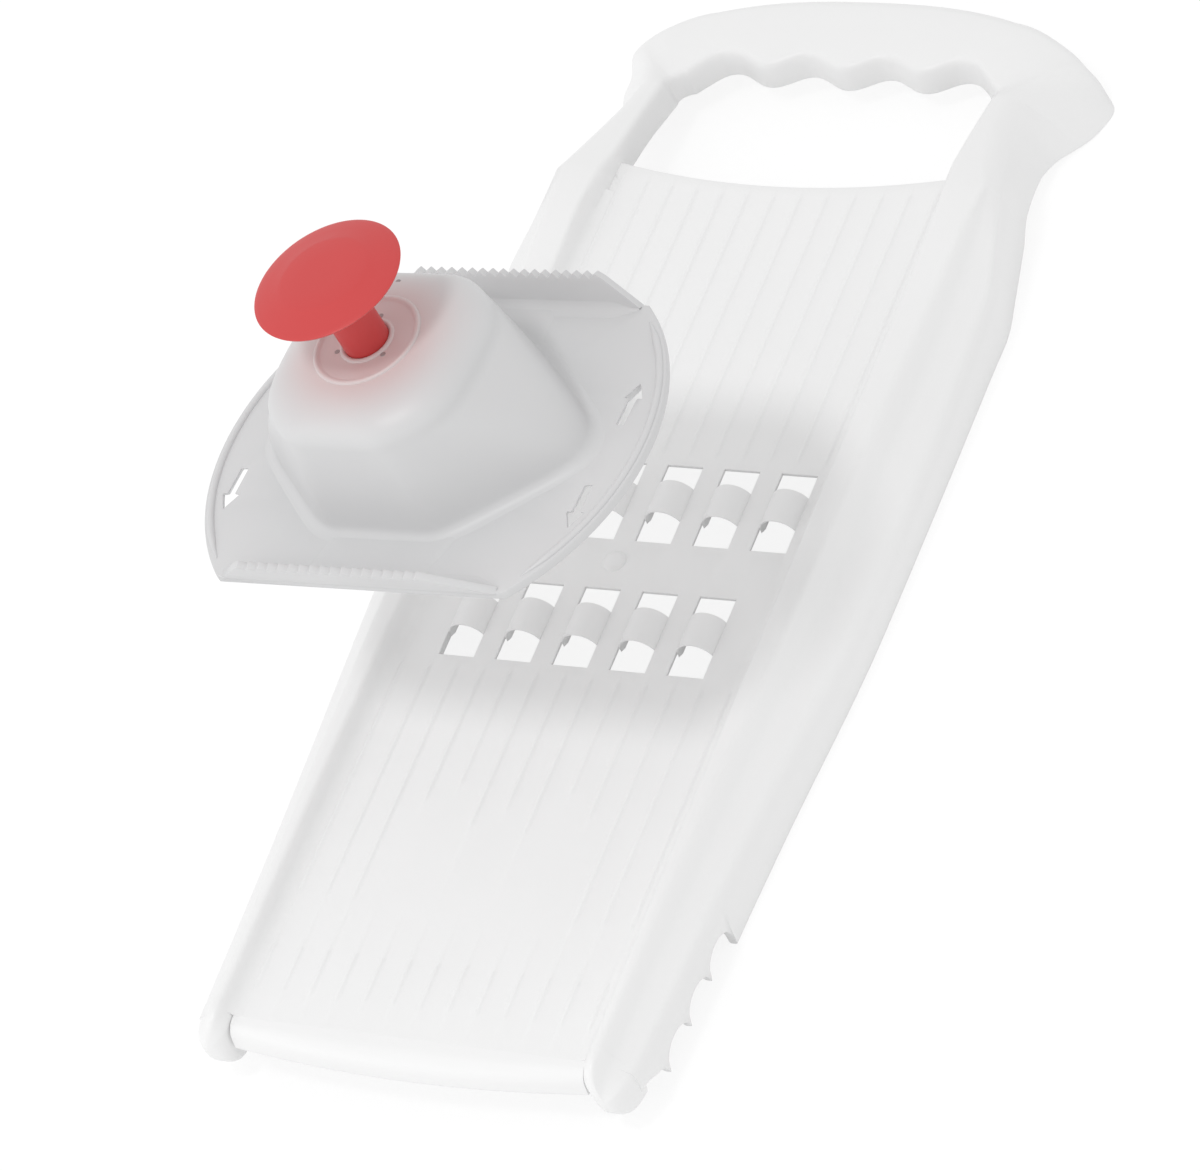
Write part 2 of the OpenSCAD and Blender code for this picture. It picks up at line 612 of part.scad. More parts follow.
module rim_beads() {
    color("gainsboro") on_holder() translate([0, 0, brim_t / 2]) intersection() {
        difference() {
            cylinder(r = brim_r - 0.8, h = 0.9, $fn = 180);
            translate([0, 0, -1]) cylinder(r = brim_r - 2.6, h = 3, $fn = 180);
        }
        cube([2 * brim_r, 2 * brim_half - 8, 4], center = true);
    }
}

// ---------- pusher ----------
plunger_top = crown_h - neck_t - plunger_gap;
plug_l = 3;
module pusher_stem() {
    color("firebrick") on_holder()
        translate([0, 0, plunger_top - plunger_t + 0.6]) {
            cylinder(r = stem_r - 1.5, h = plunger_t, $fn = 96);
            translate([0, 0, plunger_t - 0.6 + 0.1])
                cylinder(r = stem_r, h = knob_under_h - plunger_top - 0.1, $fn = 96);
            translate([0, 0, knob_under_h - plunger_top + plunger_t - 1])
                cylinder(r = stem_r - 1.5, h = plug_l, $fn = 96);
        }
}
module pusher_knob() {
    socket = stem_r - 1.5 + stem_clear;
    h0 = knob_under_h + 0.1;
    color("firebrick") on_holder() difference() {
        rotate_extrude($fn = 96) polygon([[0, h0], [stem_r, h0], [stem_r + 1.2, h0 + 1.6],
            [knob_r * 0.5, h0 + 3.4], [knob_r - 1.4, knob_rim_h - 0.9], [knob_r - 0.3, knob_rim_h - 0.6],
            [knob_r, knob_rim_h], [knob_r - 0.5, knob_rim_h + 0.5],
            [knob_r * 0.78, knob_rim_h + knob_rise * 0.55], [knob_r * 0.5, knob_rim_h + knob_rise * 0.9],
            [knob_r * 0.4, knob_rim_h + knob_rise], [0, knob_rim_h + knob_rise]]);
        translate([0, 0, h0 - 1]) cylinder(r = socket, h = plug_l + 0.4 + 1, $fn = 96);
    }
}
module plunger_disc() {
    color("firebrick") on_holder() translate([0, 0, plunger_top - plunger_t]) difference() {
        cylinder(r = plunger_r, h = plunger_t, $fn = 96);
        translate([0, 0, 0.5]) cylinder(r = stem_r - 1.5 + stem_clear, h = plunger_t, $fn = 96);
    }
}
module food_pins() {
    color("firebrick") on_holder() for (i = [0:pin_count - 1]) rotate(360 * i / pin_count)
        translate([plunger_r * 0.62, 0, plunger_top - plunger_t - pin_l])
            cylinder(r1 = 0.4, r2 = pin_r, h = pin_l, $fn = 24);
}

lower_deck();
upper_deck();
middle_band();
centre_boss();
lower_webs();
upper_webs();
for (i = [0:lower_slots - 1])
    arch_of_row(lower_slots, lower_row_y, i);
for (i = [0:upper_slots - 1])
    arch_of_row(upper_slots, band_rear, i);
left_rail();
right_rail();
left_skirt();
right_skirt();
left_hem();
right_hem();
front_lip();
left_foot();
right_foot();
left_arm();
right_arm();
hand_grip();
left_wing();
right_wing();
holder_brim();
holder_dome();
neck_ring();
front_fence();
rear_fence();
rim_beads();
pusher_stem();
pusher_knob();
plunger_disc();
food_pins();
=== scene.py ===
"""Julienne mandoline: ribbed board, food holder and pusher, dressed over the CAD frame."""
from __future__ import annotations

import logging
import math
from dataclasses import dataclass
from enum import Enum
from typing import Iterable, Sequence

import bmesh
import bpy
from mathutils import Matrix, Vector


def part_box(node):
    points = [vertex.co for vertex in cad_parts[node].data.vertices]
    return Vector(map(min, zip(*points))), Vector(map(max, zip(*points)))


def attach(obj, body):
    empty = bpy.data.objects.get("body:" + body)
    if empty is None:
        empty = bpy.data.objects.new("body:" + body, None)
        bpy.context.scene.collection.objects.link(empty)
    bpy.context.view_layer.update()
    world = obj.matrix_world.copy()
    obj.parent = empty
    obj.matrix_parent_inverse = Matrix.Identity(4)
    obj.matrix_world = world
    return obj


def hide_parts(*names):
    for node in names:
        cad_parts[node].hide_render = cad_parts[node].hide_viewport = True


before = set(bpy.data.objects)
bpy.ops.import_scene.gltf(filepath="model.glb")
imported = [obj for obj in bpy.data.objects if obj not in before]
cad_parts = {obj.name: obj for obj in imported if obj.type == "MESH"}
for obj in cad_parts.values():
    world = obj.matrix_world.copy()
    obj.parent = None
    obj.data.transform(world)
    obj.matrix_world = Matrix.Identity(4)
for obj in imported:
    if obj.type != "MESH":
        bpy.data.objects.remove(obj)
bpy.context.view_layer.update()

LOG = logging.getLogger("mandoline")
MM = 0.001
Point2 = tuple[float, float]
Point3 = tuple[float, float, float]
Ring = list[Vector]
Inputs = dict[str | int, object]
Piece = bpy.types.Object

DECK_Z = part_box("middle_band")[1][2] / MM
BOSS_Y = (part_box("centre_boss")[0][1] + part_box("centre_boss")[1][1]) / 2 / MM


class Side(Enum):
    """Which side of the board a piece lies on."""

    LEFT = -1
    RIGHT = 1


class End(Enum):
    """Which straight edge of the brim a piece stands on, by its turn from the rear one."""

    REAR = 0.0
    FRONT = math.pi


# ---------------------------------------------------------------- curves and meshes
@dataclass(frozen=True)
class Track:
    """A value that changes smoothly along a length, given at a few places."""

    knots: tuple[Point2, ...]

    def slope(self, i: int) -> float:
        """Return the slope at a knot that keeps the curve from overshooting.

        Args:
            i: The knot's number.

        Returns:
            The change of the value per unit of length.
        """
        k = self.knots
        if i in (0, len(k) - 1):
            j = min(i, len(k) - 2)
            return (k[j + 1][1] - k[j][1]) / (k[j + 1][0] - k[j][0])
        before = (k[i][1] - k[i - 1][1]) / (k[i][0] - k[i - 1][0])
        after = (k[i + 1][1] - k[i][1]) / (k[i + 1][0] - k[i][0])
        return 0.0 if before * after <= 0 else 2 * before * after / (before + after)

    def at(self, s: float) -> float:
        """Read the value at a place, held level past the ends.

        Args:
            s: The place along the length.

        Returns:
            The value there.
        """
        k = self.knots
        if s <= k[0][0]:
            return k[0][1]
        if s >= k[-1][0]:
            return k[-1][1]
        i = max(n for n in range(len(k) - 1) if k[n][0] <= s)
        h = k[i + 1][0] - k[i][0]
        t = (s - k[i][0]) / h
        return ((2 * t ** 3 - 3 * t ** 2 + 1) * k[i][1] + (t ** 3 - 2 * t ** 2 + t) * h * self.slope(i)
                + (3 * t ** 2 - 2 * t ** 3) * k[i + 1][1] + (t ** 3 - t ** 2) * h * self.slope(i + 1))


def rounded(path: Sequence[Point2], radii: Sequence[float], steps: int) -> list[Point2]:
    """Round each corner of a closed path.

    Args:
        path: The corners, in order.
        radii: How far each corner's curve reaches along its sides.
        steps: Points per corner, less one.

    Returns:
        The rounded path, with the same number of points for any corners.
    """
    out: list[Point2] = []
    n = len(path)
    for i, (corner, radius) in enumerate(zip(path, radii)):
        p = Vector(corner)
        before = Vector(path[i - 1]) - p
        after = Vector(path[(i + 1) % n]) - p
        reach = min(radius, 0.45 * before.length, 0.45 * after.length)
        a = p + before.normalized() * reach
        b = p + after.normalized() * reach
        for t in shares(steps):
            q = a * (1 - t) ** 2 + p * 2 * t * (1 - t) + b * t ** 2
            out.append((q.x, q.y))
    return out


def shares(steps: int) -> list[float]:
    """Return the numbers from 0 to 1 in even steps."""
    return [i / steps for i in range(steps + 1)]


def spread(centre: float, half: float, steps: int) -> list[float]:
    """Return the angles within half of centre in even steps."""
    return [centre - half + 2 * half * t for t in shares(steps)]


def polar(radius: float, angle: float, z: float) -> Vector:
    """Return the point at a distance and a direction from the Z axis."""
    return Vector((radius * math.cos(angle), radius * math.sin(angle), z))


def hollow(near: Vector, corner: Vector, far: Vector, steps: int = 8) -> list[Vector]:
    """Return the points of the curve that leaves near towards corner and ends at far."""
    return [(1 - t) ** 2 * near + 2 * t * (1 - t) * corner + t * t * far for t in shares(steps)]


def inner_wall(path: Sequence[Point2], wall: float) -> list[Point2]:
    """Offset an open outer path to the inside of its wall.

    Args:
        path: The outer path.
        wall: The wall's thickness.

    Returns:
        The inner path, from the outer one's end back to its start.
    """
    out = [(path[0][0] + wall, path[0][1])]
    for i in range(1, len(path) - 1):
        d = (Vector(path[i + 1]) - Vector(path[i - 1])).normalized()
        out.append((path[i][0] + wall * d.y, path[i][1] - wall * d.x))
    out.append((path[-1][0] - wall, path[-1][1]))
    return out[::-1]


def link(name: str, data: bpy.types.ID) -> Piece:
    """Put an object into the scene.

    Args:
        name: The object's name.
        data: Its mesh, lamp or camera.

    Returns:
        The new object.
    """
    obj = bpy.data.objects.new(name, data)
    bpy.context.scene.collection.objects.link(obj)
    return obj


class Mesher:
    """Builds one mesh with bmesh operators and hands it over as an object."""

    def __init__(self) -> None:
        """Start an empty mesh."""
        self.bm = bmesh.new()

    def ring(self, points: Iterable[Vector]) -> list[bmesh.types.BMVert]:
        """Add a closed loop of vertices and edges.

        Args:
            points: The places of the vertices, in order.

        Returns:
            The new vertices.
        """
        verts = [self.bm.verts.new(p) for p in points]
        for a, b in zip(verts, verts[1:] + verts[:1]):
            self.bm.edges.new((a, b))
        return verts

    def loft(self, rings: Sequence[Ring], closed: bool = False) -> Mesher:
        """Skin a row of rings by extruding the first one from place to place.

        Args:
            rings: Loops with the same number of points.
            closed: Join the last ring to the first, in place of closing both ends.

        Returns:
            The mesher itself.
        """
        first = last = self.ring(rings[0])
        for target in rings[1:]:
            edges = [self.bm.edges.get((a, b)) for a, b in zip(last, last[1:] + last[:1])]
            made = bmesh.ops.extrude_edge_only(self.bm, edges=edges)["geom"]
            new = {v for v in made if isinstance(v, bmesh.types.BMVert)}
            fresh = [next(e.other_vert(v) for e in v.link_edges if e.other_vert(v) in new) for v in last]
            for vert, place in zip(fresh, target):
                vert.co = place
            last = fresh
        loops = [[self.bm.edges.get((a, b)) for a, b in zip(r, r[1:] + r[:1])] for r in (first, last)]
        if closed:
            bmesh.ops.bridge_loops(self.bm, edges=loops[0] + loops[1])
            return self
        for loop in loops:
            bmesh.ops.triangle_fill(self.bm, use_beauty=True, edges=loop)
        return self

    def plate(self, loops: Sequence[Ring], depth: Vector) -> None:
        """Fill a face between loops and thicken it.

        Args:
            loops: The outer loop, then the holes in it.
            depth: The way and length of the extrusion.
        """
        edges = []
        for loop in loops:
            verts = self.ring(loop)
            edges += [self.bm.edges.get((a, b)) for a, b in zip(verts, verts[1:] + verts[:1])]
        made = bmesh.ops.triangle_fill(self.bm, use_beauty=True, edges=edges)["geom"]
        faces = [f for f in made if isinstance(f, bmesh.types.BMFace)]
        grown = bmesh.ops.extrude_face_region(self.bm, geom=faces, use_keep_orig=True)["geom"]
        moved = [v for v in grown if isinstance(v, bmesh.types.BMVert)]
        bmesh.ops.translate(self.bm, verts=moved, vec=depth)

    def lathe(self, profile: Sequence[Point2], steps: int = 96) -> Mesher:
        """Spin a profile about the Z axis.

        Args:
            profile: Points of (radius, height).
            steps: Number of stretches in the full turn.

        Returns:
            The mesher itself.
        """
        verts = [self.bm.verts.new((r, 0, z)) for r, z in profile]
        edges = [self.bm.edges.new(pair) for pair in zip(verts, verts[1:])]
        bmesh.ops.spin(self.bm, geom=verts + edges, cent=(0, 0, 0), axis=(0, 0, 1),
                       angle=math.tau, steps=steps, use_merge=True)
        return self

    def peg(self, turn: float, far: float, z: float, size: Point3, steps: int) -> None:
        """Add an upright cone.

        Args:
            turn: Its direction from the Z axis in degrees.
            far: Its distance from the Z axis.
            z: The height of its middle.
            size: Its radius below, its radius above and its length.
            steps: Its number of sides.
        """
        low, high, length = size
        bmesh.ops.create_cone(self.bm, cap_ends=True, segments=steps, radius1=low, radius2=high, depth=length,
                              matrix=Matrix.Translation(polar(far, math.radians(turn), z)))

    def bevel(self, edges: Sequence[bmesh.types.BMEdge], radius: float) -> None:
        """Round some edges."""
        bmesh.ops.bevel(self.bm, geom=edges, offset=radius, offset_type="OFFSET", segments=2, profile=0.5,
                        affect="EDGES", clamp_overlap=True, material=-1)

    def soften(self, radius: float, sharp: float) -> None:
        """Turn the faces outwards and round the sharper edges.

        Args:
            radius: How far each rounding reaches.
            sharp: Edges that turn by more than this many degrees are rounded.
        """
        bmesh.ops.recalc_face_normals(self.bm, faces=self.bm.faces)
        self.bevel([e for e in self.bm.edges if len(e.link_faces) == 2
                    and e.calc_face_angle(0.0) > math.radians(sharp)], radius)

    def finish(self, name: str, place: Matrix | None = None, smooth: float = 40.0) -> Piece:
        """Close the mesh and make an object of it.

        Args:
            name: The object's name.
            place: Where the mesh goes, in millimetres in the part's frame.
            smooth: Edges that turn by more than this many degrees stay sharp.

        Returns:
            The new object, at the origin, with its place in its mesh.
        """
        bmesh.ops.remove_doubles(self.bm, verts=self.bm.verts, dist=0.0005)
        bmesh.ops.recalc_face_normals(self.bm, faces=self.bm.faces)
        if self.bm.calc_volume(signed=True) < 0:
            bmesh.ops.reverse_faces(self.bm, faces=self.bm.faces)
        bmesh.ops.transform(self.bm, matrix=Matrix.Scale(MM, 4) @ (place or Matrix()), verts=self.bm.verts)
        for face in self.bm.faces:
            face.smooth = True
        for edge in self.bm.edges:
            edge.smooth = edge.calc_face_angle(0.0) < math.radians(smooth)
        mesh = bpy.data.meshes.new(name)
        self.bm.to_mesh(mesh)
        self.bm.free()
        return link(name, mesh)


ON_BOARD = Matrix.Translation((0, BOSS_Y, DECK_Z))
# Where the holder hangs over the board: its place in millimetres, and its tilt in degrees about an axis
HOLDER_AT = (0, -34.8, 89.7)
HOLDER_TILT = 6.0
HOLDER_AXIS = (-0.2243, -0.8938, -0.3884)
CLOUD_SCALE = 38.0
FLOW_SCALE = 9.0
GRAIN_SCALE = 2600.0
GRAIN_DEPTH = 0.00006
SHEEN_CHANGE = 0.12
# Share of the reach inside which the painted glow (light shining through the wall) is at full strength
PAINTED_GLOW_CORE = 0.35


# ---------------------------------------------------------------- finishes
class Nodes:
    """A short way to write a node tree."""

    def __init__(self, tree: bpy.types.NodeTree) -> None:
        """Start on a tree."""
        self.tree = tree

    def add(self, kind: str, inputs: Inputs | None = None, **values: object) -> bpy.types.Node:
        """Add a node.

        Args:
            kind: The node's type.
            inputs: Values or sockets for its inputs, by name or number.
            values: Its properties.

        Returns:
            The new node.
        """
        node = self.tree.nodes.new(kind)
        for name, value in values.items():
            setattr(node, name, value)
        self.feed(node, inputs or {})
        return node

    def feed(self, node: bpy.types.Node, inputs: Inputs) -> None:
        """Set or link the inputs of a node.

        Args:
            node: The node.
            inputs: Values or sockets, by the input's name or number.
        """
        for key, value in inputs.items():
            if isinstance(value, bpy.types.NodeSocket):
                self.tree.links.new(value, node.inputs[key])
            else:
                node.inputs[key].default_value = value

    def calculate(self, operation: str, *terms: object) -> bpy.types.NodeSocket:
        """Add a sum.

        Args:
            operation: The Math node's operation.
            terms: Its numbers or sockets, in order.

        Returns:
            The socket with the result.
        """
        return self.add("ShaderNodeMath", dict(enumerate(terms)), operation=operation).outputs[0]


def grey(level: float) -> tuple[float, float, float, float]:
    """Return an opaque grey."""
    return (level, level, level, 1.0)


def moulding_group() -> bpy.types.NodeTree:
    """Build the shared group that gives moulded plastic its clouding, sheen change and grain.

    Returns:
        The group, built once and found again later.
    """
    found = bpy.data.node_groups.get("Moulded surface")
    if found:
        return found
    tree = bpy.data.node_groups.new("Moulded surface", "ShaderNodeTree")
    for name, kind, value in (("Vector", "NodeSocketVector", None), ("Colour", "NodeSocketColor", None),
                              ("Clouding", "NodeSocketFloat", 0.03), ("Roughness", "NodeSocketFloat", 0.4),
                              ("Grain", "NodeSocketFloat", 0.1)):
        socket = tree.interface.new_socket(name=name, in_out="INPUT", socket_type=kind)
        if value is not None:
            socket.default_value = value
    for name, kind in (("Colour", "NodeSocketColor"), ("Roughness", "NodeSocketFloat"),
                       ("Normal", "NodeSocketVector")):
        tree.interface.new_socket(name=name, in_out="OUTPUT", socket_type=kind)
    nodes = Nodes(tree)
    given = nodes.add("NodeGroupInput").outputs
    cloud, flow, grain = (
        nodes.add("ShaderNodeTexNoise", {
            "Vector": given["Vector"], "Scale": scale, "Detail": detail}).outputs["Fac"]
        for scale, detail in ((CLOUD_SCALE, 3.0), (FLOW_SCALE, 2.0), (GRAIN_SCALE, 2.0)))
    centred = nodes.calculate("SUBTRACT", nodes.calculate("ADD", cloud, flow), 1.0)
    shade = nodes.calculate("MULTIPLY_ADD", centred, given["Clouding"], 1.0)
    tint = nodes.add("ShaderNodeVectorMath", {0: given["Colour"], "Scale": shade}, operation="SCALE")
    bump = nodes.add("ShaderNodeBump", {"Distance": GRAIN_DEPTH, "Strength": given["Grain"], "Height": grain})
    nodes.add("NodeGroupOutput", {
        "Colour": tint.outputs[0], "Normal": bump.outputs["Normal"],
        "Roughness": nodes.calculate("MULTIPLY_ADD", centred, SHEEN_CHANGE, given["Roughness"])})
    return tree


@dataclass(frozen=True)
class Plastic:
    """A moulded plastic finish.

    Attributes:
        name: The material's name.
        colour: Its plain colour.
        roughness: Its mean roughness.
        clouding: How much its shade drifts.
        grain: Strength of its fine grain.
        specular: Strength of its mirror reflection.
        glow: Colour painted near glow_centre as a glow, standing in for the light of a coloured piece shining
            through.
        glow_centre: Middle of the painted glow.
        glow_reach: Radius at which the painted glow is gone.
    """

    name: str
    colour: Point3
    roughness: float = 0.4
    clouding: float = 0.03
    grain: float = 0.1
    specular: float = 0.4
    # Painted light: a glow colour painted where a red piece shines through the milky wall
    glow: Point3 | None = None
    glow_centre: Point3 = (0.0, 0.0, 0.0)
    glow_reach: float = 0.02

    def material(self) -> bpy.types.Material:
        """Build the material once.

        Returns:
            The material, new or found.
        """
        found = bpy.data.materials.get(self.name)
        if found:
            return found
        mat = bpy.data.materials.new(self.name)
        mat.use_nodes = True
        nodes = Nodes(mat.node_tree)
        where = nodes.add("ShaderNodeTexCoord").outputs["Object"]
        # Where a glow is set, a painted glow standing in for light shining through is mixed into the colour
        colour = self.painted_glow_colour(nodes, where) if self.glow else (*self.colour, 1.0)
        made = nodes.add("ShaderNodeGroup", {
            "Vector": where, "Colour": colour, "Clouding": self.clouding, "Roughness": self.roughness,
            "Grain": self.grain}, node_tree=moulding_group()).outputs
        nodes.feed(mat.node_tree.nodes["Principled BSDF"], {
            "Base Color": made["Colour"], "Roughness": made["Roughness"], "Normal": made["Normal"],
            "Specular IOR Level": self.specular})
        return mat

    def painted_glow_colour(self, nodes: Nodes, where: bpy.types.NodeSocket) -> bpy.types.NodeSocket:
        """Paint a glow into the colour where a coloured piece shines through a thin wall, as painted light.

        Args:
            nodes: The material's nodes.
            where: The socket with the place on the piece.

        Returns:
            The socket with the colour and its painted glow.
        """
        # Painted light: the tint fades with distance from the glow's centre, standing in for red light seen
        # through the wall
        away = nodes.add("ShaderNodeVectorMath", {0: where, 1: self.glow_centre}, operation="DISTANCE")
        fade = nodes.add("ShaderNodeMapRange", {
            "Value": away.outputs["Value"], "From Min": self.glow_reach * PAINTED_GLOW_CORE,
            "From Max": self.glow_reach, "To Min": 1.0, "To Max": 0.0}, interpolation_type="SMOOTHERSTEP")
        mix = nodes.add("ShaderNodeMix", {"A": (*self.colour, 1.0), "B": (*self.glow, 1.0),
                                          "Factor": fade.outputs["Result"]}, data_type="RGBA")
        return mix.outputs["Result"]


def dress(obj: Piece, body: str, finish: Plastic, replaces: Sequence[str]) -> None:
    """Give a piece its finish and tie it to the frame.

    Args:
        obj: The piece.
        body: The rigid body that it moves with.
        finish: Its finish.
        replaces: The CAD nodes that it stands for.
    """
    obj.data.materials.clear()
    obj.data.materials.append(finish.material())
    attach(obj, body)
    if replaces:
        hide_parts(*replaces)
    LOG.info("%s: %d faces", obj.name, len(obj.data.polygons))


# ---------------------------------------------------------------- board
@dataclass
class Board:
    """The moulded board: deck, cutters, rails, skirts and handle. Sizes are in millimetres."""

    finish: Plastic
    deck_half: float = 48.2
    wall: float = 2.2
    front_y: float = -142.5
    lower_row: Point2 = (-32.5, -8.3)
    upper_row: Point2 = (6.7, 30.9)
    rear_y: float = 122.5
    rear_bow: float = 5.5
    neck_y: float = 121.0
    rail_in: float = 50.5
    pivot: Point2 = (44.0, 158.0)
    wave_y: float = 168.6
    wave_pitch: float = 22.6
    wave_amp: float = 2.1
    foot_l: float = 7.5
    foot_slim: float = 1.6
    foot_tip: float = 0.06
    nose_power: float = 3.2
    cheek_power: float = 2.2
    foot_mid: Point2 = (54.2, -5.0)
    lip_reach: float = 5.0
    lip_bow: float = 3.0
    lip_drop: float = 7.0
    back_y: float = 192.5
    back_bow: float = 6.9
    scallop_pitch: float = 13.0
    scallop_d: float = 5.5
    cusp_rise: float = 3.4
    slot_pitch: float = 16.0
    slot_w: float = 10.0
    slot_lip: float = 0.9
    arch_l: float = 10.0
    arch_rise: float = 3.35
    rib_pitch: float = 7.6
    rib_h: float = 0.4
    rib_half: float = 0.9
    rib_run: float = 1.5
    rib_last: int = 6
    rear_run: float = 20.0
    edge_r: float = 0.35
    corner_steps: int = 3
    rail_w: Track = Track(((-142.5, 2.2), (-95, 3.3), (-30, 5.6), (27, 6.9), (90, 8.8), (121, 10.4)))
    rail_z: Track = Track(((-142.5, 4.3), (-60, 5.3), (85, 5.4), (108, 6.6), (121, 6.1)))
    flare: Track = Track(((-142.5, 6.6), (-60, 8.7), (0, 11.2), (91, 9.6), (108, 6.2), (121, 3.2)))
    shoulder_z: Track = Track(((-142.5, -3.0), (-60, -4.4), (-10, -6.0), (40, -5.4), (91, -2.6),
                               (121, 2.4)))
    hem_draw: Track = Track(((-142.5, 0.0), (0, 1.2), (80, 1.2), (121, -0.3)))
    hem_z: Track = Track(((98, -22.0), (108, -20.6), (121, -17.6)))

    # ----- side walls
    def scallop(self, y: float) -> float:
        """Work out how far a skirt's lower edge rises in its scalloped foot end.

        Args:
            y: The place along the board.

        Returns:
            The rise above the plain lower edge.
        """
        front = self.front_y - 2
        rear = front + 4 * self.scallop_pitch
        if y > rear:
            return 0.0
        u = (y - front) / self.scallop_pitch
        v = 2 * (u - math.floor(u)) - 1
        foot = max(0.0, 1 - (y - self.front_y) / (self.scallop_pitch / 2)) * 4
        return self.cusp_rise + self.scallop_d * math.sqrt(max(0.0, 1 - v * v)) + foot

    def side_path(self, y: float) -> list[Point2]:
        """Draw the outer section of rail and skirt.

        Args:
            y: The place along the board.

        Returns:
            The section's corners, as (x, z).
        """
        xr = self.rail_in + self.rail_w.at(y)
        zr = self.rail_z.at(y)
        run = self.flare.at(y)
        drop = self.shoulder_z.at(y) - zr
        xs, zs = xr + run, zr + drop
        xb = xs - self.hem_draw.at(y)
        zb = self.hem_z.at(y) + self.scallop(y)
        return [(self.deck_half, -self.wall), (self.deck_half, 0.0), (self.rail_in, zr), (xr, zr),
                (xr + 0.3 * run, zr + 0.64 * drop), (xr + 0.7 * run, zr + 0.86 * drop), (xs, zs),
                (xs + 0.5, max(zs - 5, (zs + zb) / 2)), (xb, zb)]

    SIDE_RADII = (0.0, 0.5, 1.0, 1.5, 5.0, 5.0, 3.0, 5.0, 0.7)
    ARM_RADII = (0.6, 0.5, 1.6, 3.0, 3.0, 3.0, 3.0, 5.0, 0.7)
    FAN_RADII = (0.6, 0.5, 1.8, 3, 3, 3, 2.5, 4, 0.7)
    GRIP_RADII = (0.6, 1.5, 3.0, 1, 1, 1.5, 1.5, 1.5, 0.7)
    # Section of the foot, as (x, z)
    FOOT_PATH = ((49.4, -15.0), (48.3, -8.0), (48.3, 0.2), (50.5, 4.3), (52.9, 4.3), (55.0, -0.3),
                 (57.4, -2.0), (59.3, -3.2), (59.8, -8.0), (58.6, -15.0))
    FOOT_RADII = (3.5, 3, 1, 1.2, 1.5, 3, 3, 3, 3, 3.5)
    # Sections of the arm by their y, as (x, z)
    ARM_ROWS = (
        (121, ((48.2, -4.4), (48.2, 0.6), (49.4, 6.1), (60.9, 6.1), (62.2, 5.2), (63.3, 4.0), (64.3, 2.4),
               (65.1, -4.0), (64.8, -17.6))),
        (131, ((48.0, -5.6), (48.0, -0.6), (48.1, 4.2), (57.0, 4.2), (58.9, 3.5), (60.4, 2.2), (61.6, 0.0),
               (62.4, -6.0), (62.8, -16.4))),
        (143, ((47.8, -7.8), (47.9, -3.0), (48.0, 1.8), (53.9, 1.8), (56.0, 1.0), (57.7, -0.6), (59.0, -3.0),
               (60.4, -8.0), (62.0, -17.3))),
        (150, ((47.4, -9.4), (47.7, -4.4), (48.0, 0.2), (52.6, 0.2), (54.8, -0.7), (56.7, -2.4),
               (58.4, -5.2), (60.4, -10.5), (62.9, -19.0))),
        (158, ((46.8, -11.2), (47.4, -6.4), (48.0, -1.6), (52.4, -1.7), (54.8, -3.0), (57.3, -5.6),
               (60.3, -10.0), (63.3, -15.0), (66.9, -21.2))))
    # Sections of the wing by their angle round the pivot, as (distance from it, z)
    FAN_ROWS = (
        (0, ((2.8, -11.2), (3.4, -6.4), (4.0, -1.6), (8.4, -1.7), (10.8, -3.0), (13.3, -5.6), (16.3, -10.0),
             (19.3, -15.0), (22.9, -21.2))),
        (15, ((3.2, -11.5), (3.8, -6.8), (4.2, -2.2), (9.4, -2.6), (12.4, -4.0), (15.7, -7.0), (19.5, -11.5),
              (23.5, -16.6), (27.6, -21.8))),
        (28, ((3.6, -11.8), (4.0, -7.3), (4.3, -2.9), (11.5, -3.7), (15.5, -5.2), (19.8, -8.3), (24.0, -12.4),
              (28.0, -17.0), (31.28, -22.0))),
        (36, ((3.8, -12.0), (4.1, -7.6), (4.5, -3.3), (15.5, -4.8), (19.5, -6.1), (24.0, -8.1), (28.2, -10.3),
              (30.0, -15.0), (30.5, -22.0))),
        (42, ((4.0, -12.1), (4.2, -7.8), (4.7, -3.6), (19.0, -5.6), (22.6, -6.5), (25.8, -7.7), (28.0, -9.2),
              (28.6, -13.0), (28.7, -22.0))),
        (60, ((4.3, -12.3), (4.5, -8.0), (5.0, -4.1), (18.0, -4.7), (22.1, -5.2), (25.2, -5.7), (26.9, -6.9),
              (27.2, -10.0), (27.2, -17.0))),
        (90, ((5.2, -12.8), (5.5, -8.4), (6.6, -4.4), (18.9, -4.4), (22.9, -4.4), (26.8, -4.6), (28.8, -6.0),
              (29.1, -9.0), (29.1, -12.8))))

    @staticmethod
    def row_at(rows: Sequence[tuple[float, Sequence[Point2]]], s: float) -> list[Point2]:
        """Read a table of sections between its rows.

        Args:
            rows: The sections, each with its place.
            s: The place that is wanted.

        Returns:
            The corners of the section there.
        """
        count = len(rows[0][1])
        return [tuple(Track(tuple((key, path[i][axis]) for key, path in rows)).at(s) for axis in (0, 1))
                for i in range(count)]

    def wave(self, x: float) -> float:
        """Draw the front line of the grip with its four finger waves.

        Args:
            x: The place across the board.

        Returns:
            The line's y there.
        """
        corner = max(0.0, abs(x) - 1.6 * self.wave_pitch)
        ripple = self.wave_amp * math.cos(math.tau * x / self.wave_pitch)
        return self.wave_y - ripple - 0.055 * corner ** 2

    def back(self, x: float) -> float:
        """Return the bowed rear line of the grip at x."""
        return self.back_y - self.back_bow * (abs(x) / self.deck_half) ** 2.6

    def grip_path(self, x: float) -> list[Point2]:
        """Draw the section of the grip.

        Args:
            x: The place across the board.

        Returns:
            The section's corners, as (distance behind the pivot, z).
        """
        front = self.wave(x) - self.pivot[1]
        rear = self.back(x) - self.pivot[1]
        return [(front, -12.8), (front + 0.3, -8.4), (front + 1.6, -4.4), (rear - 10.2, -4.4),
                (rear - 6.2, -4.4), (rear - 2.3, -4.6), (rear - 0.3, -6.0), (rear, -9.0), (rear, -12.8)]

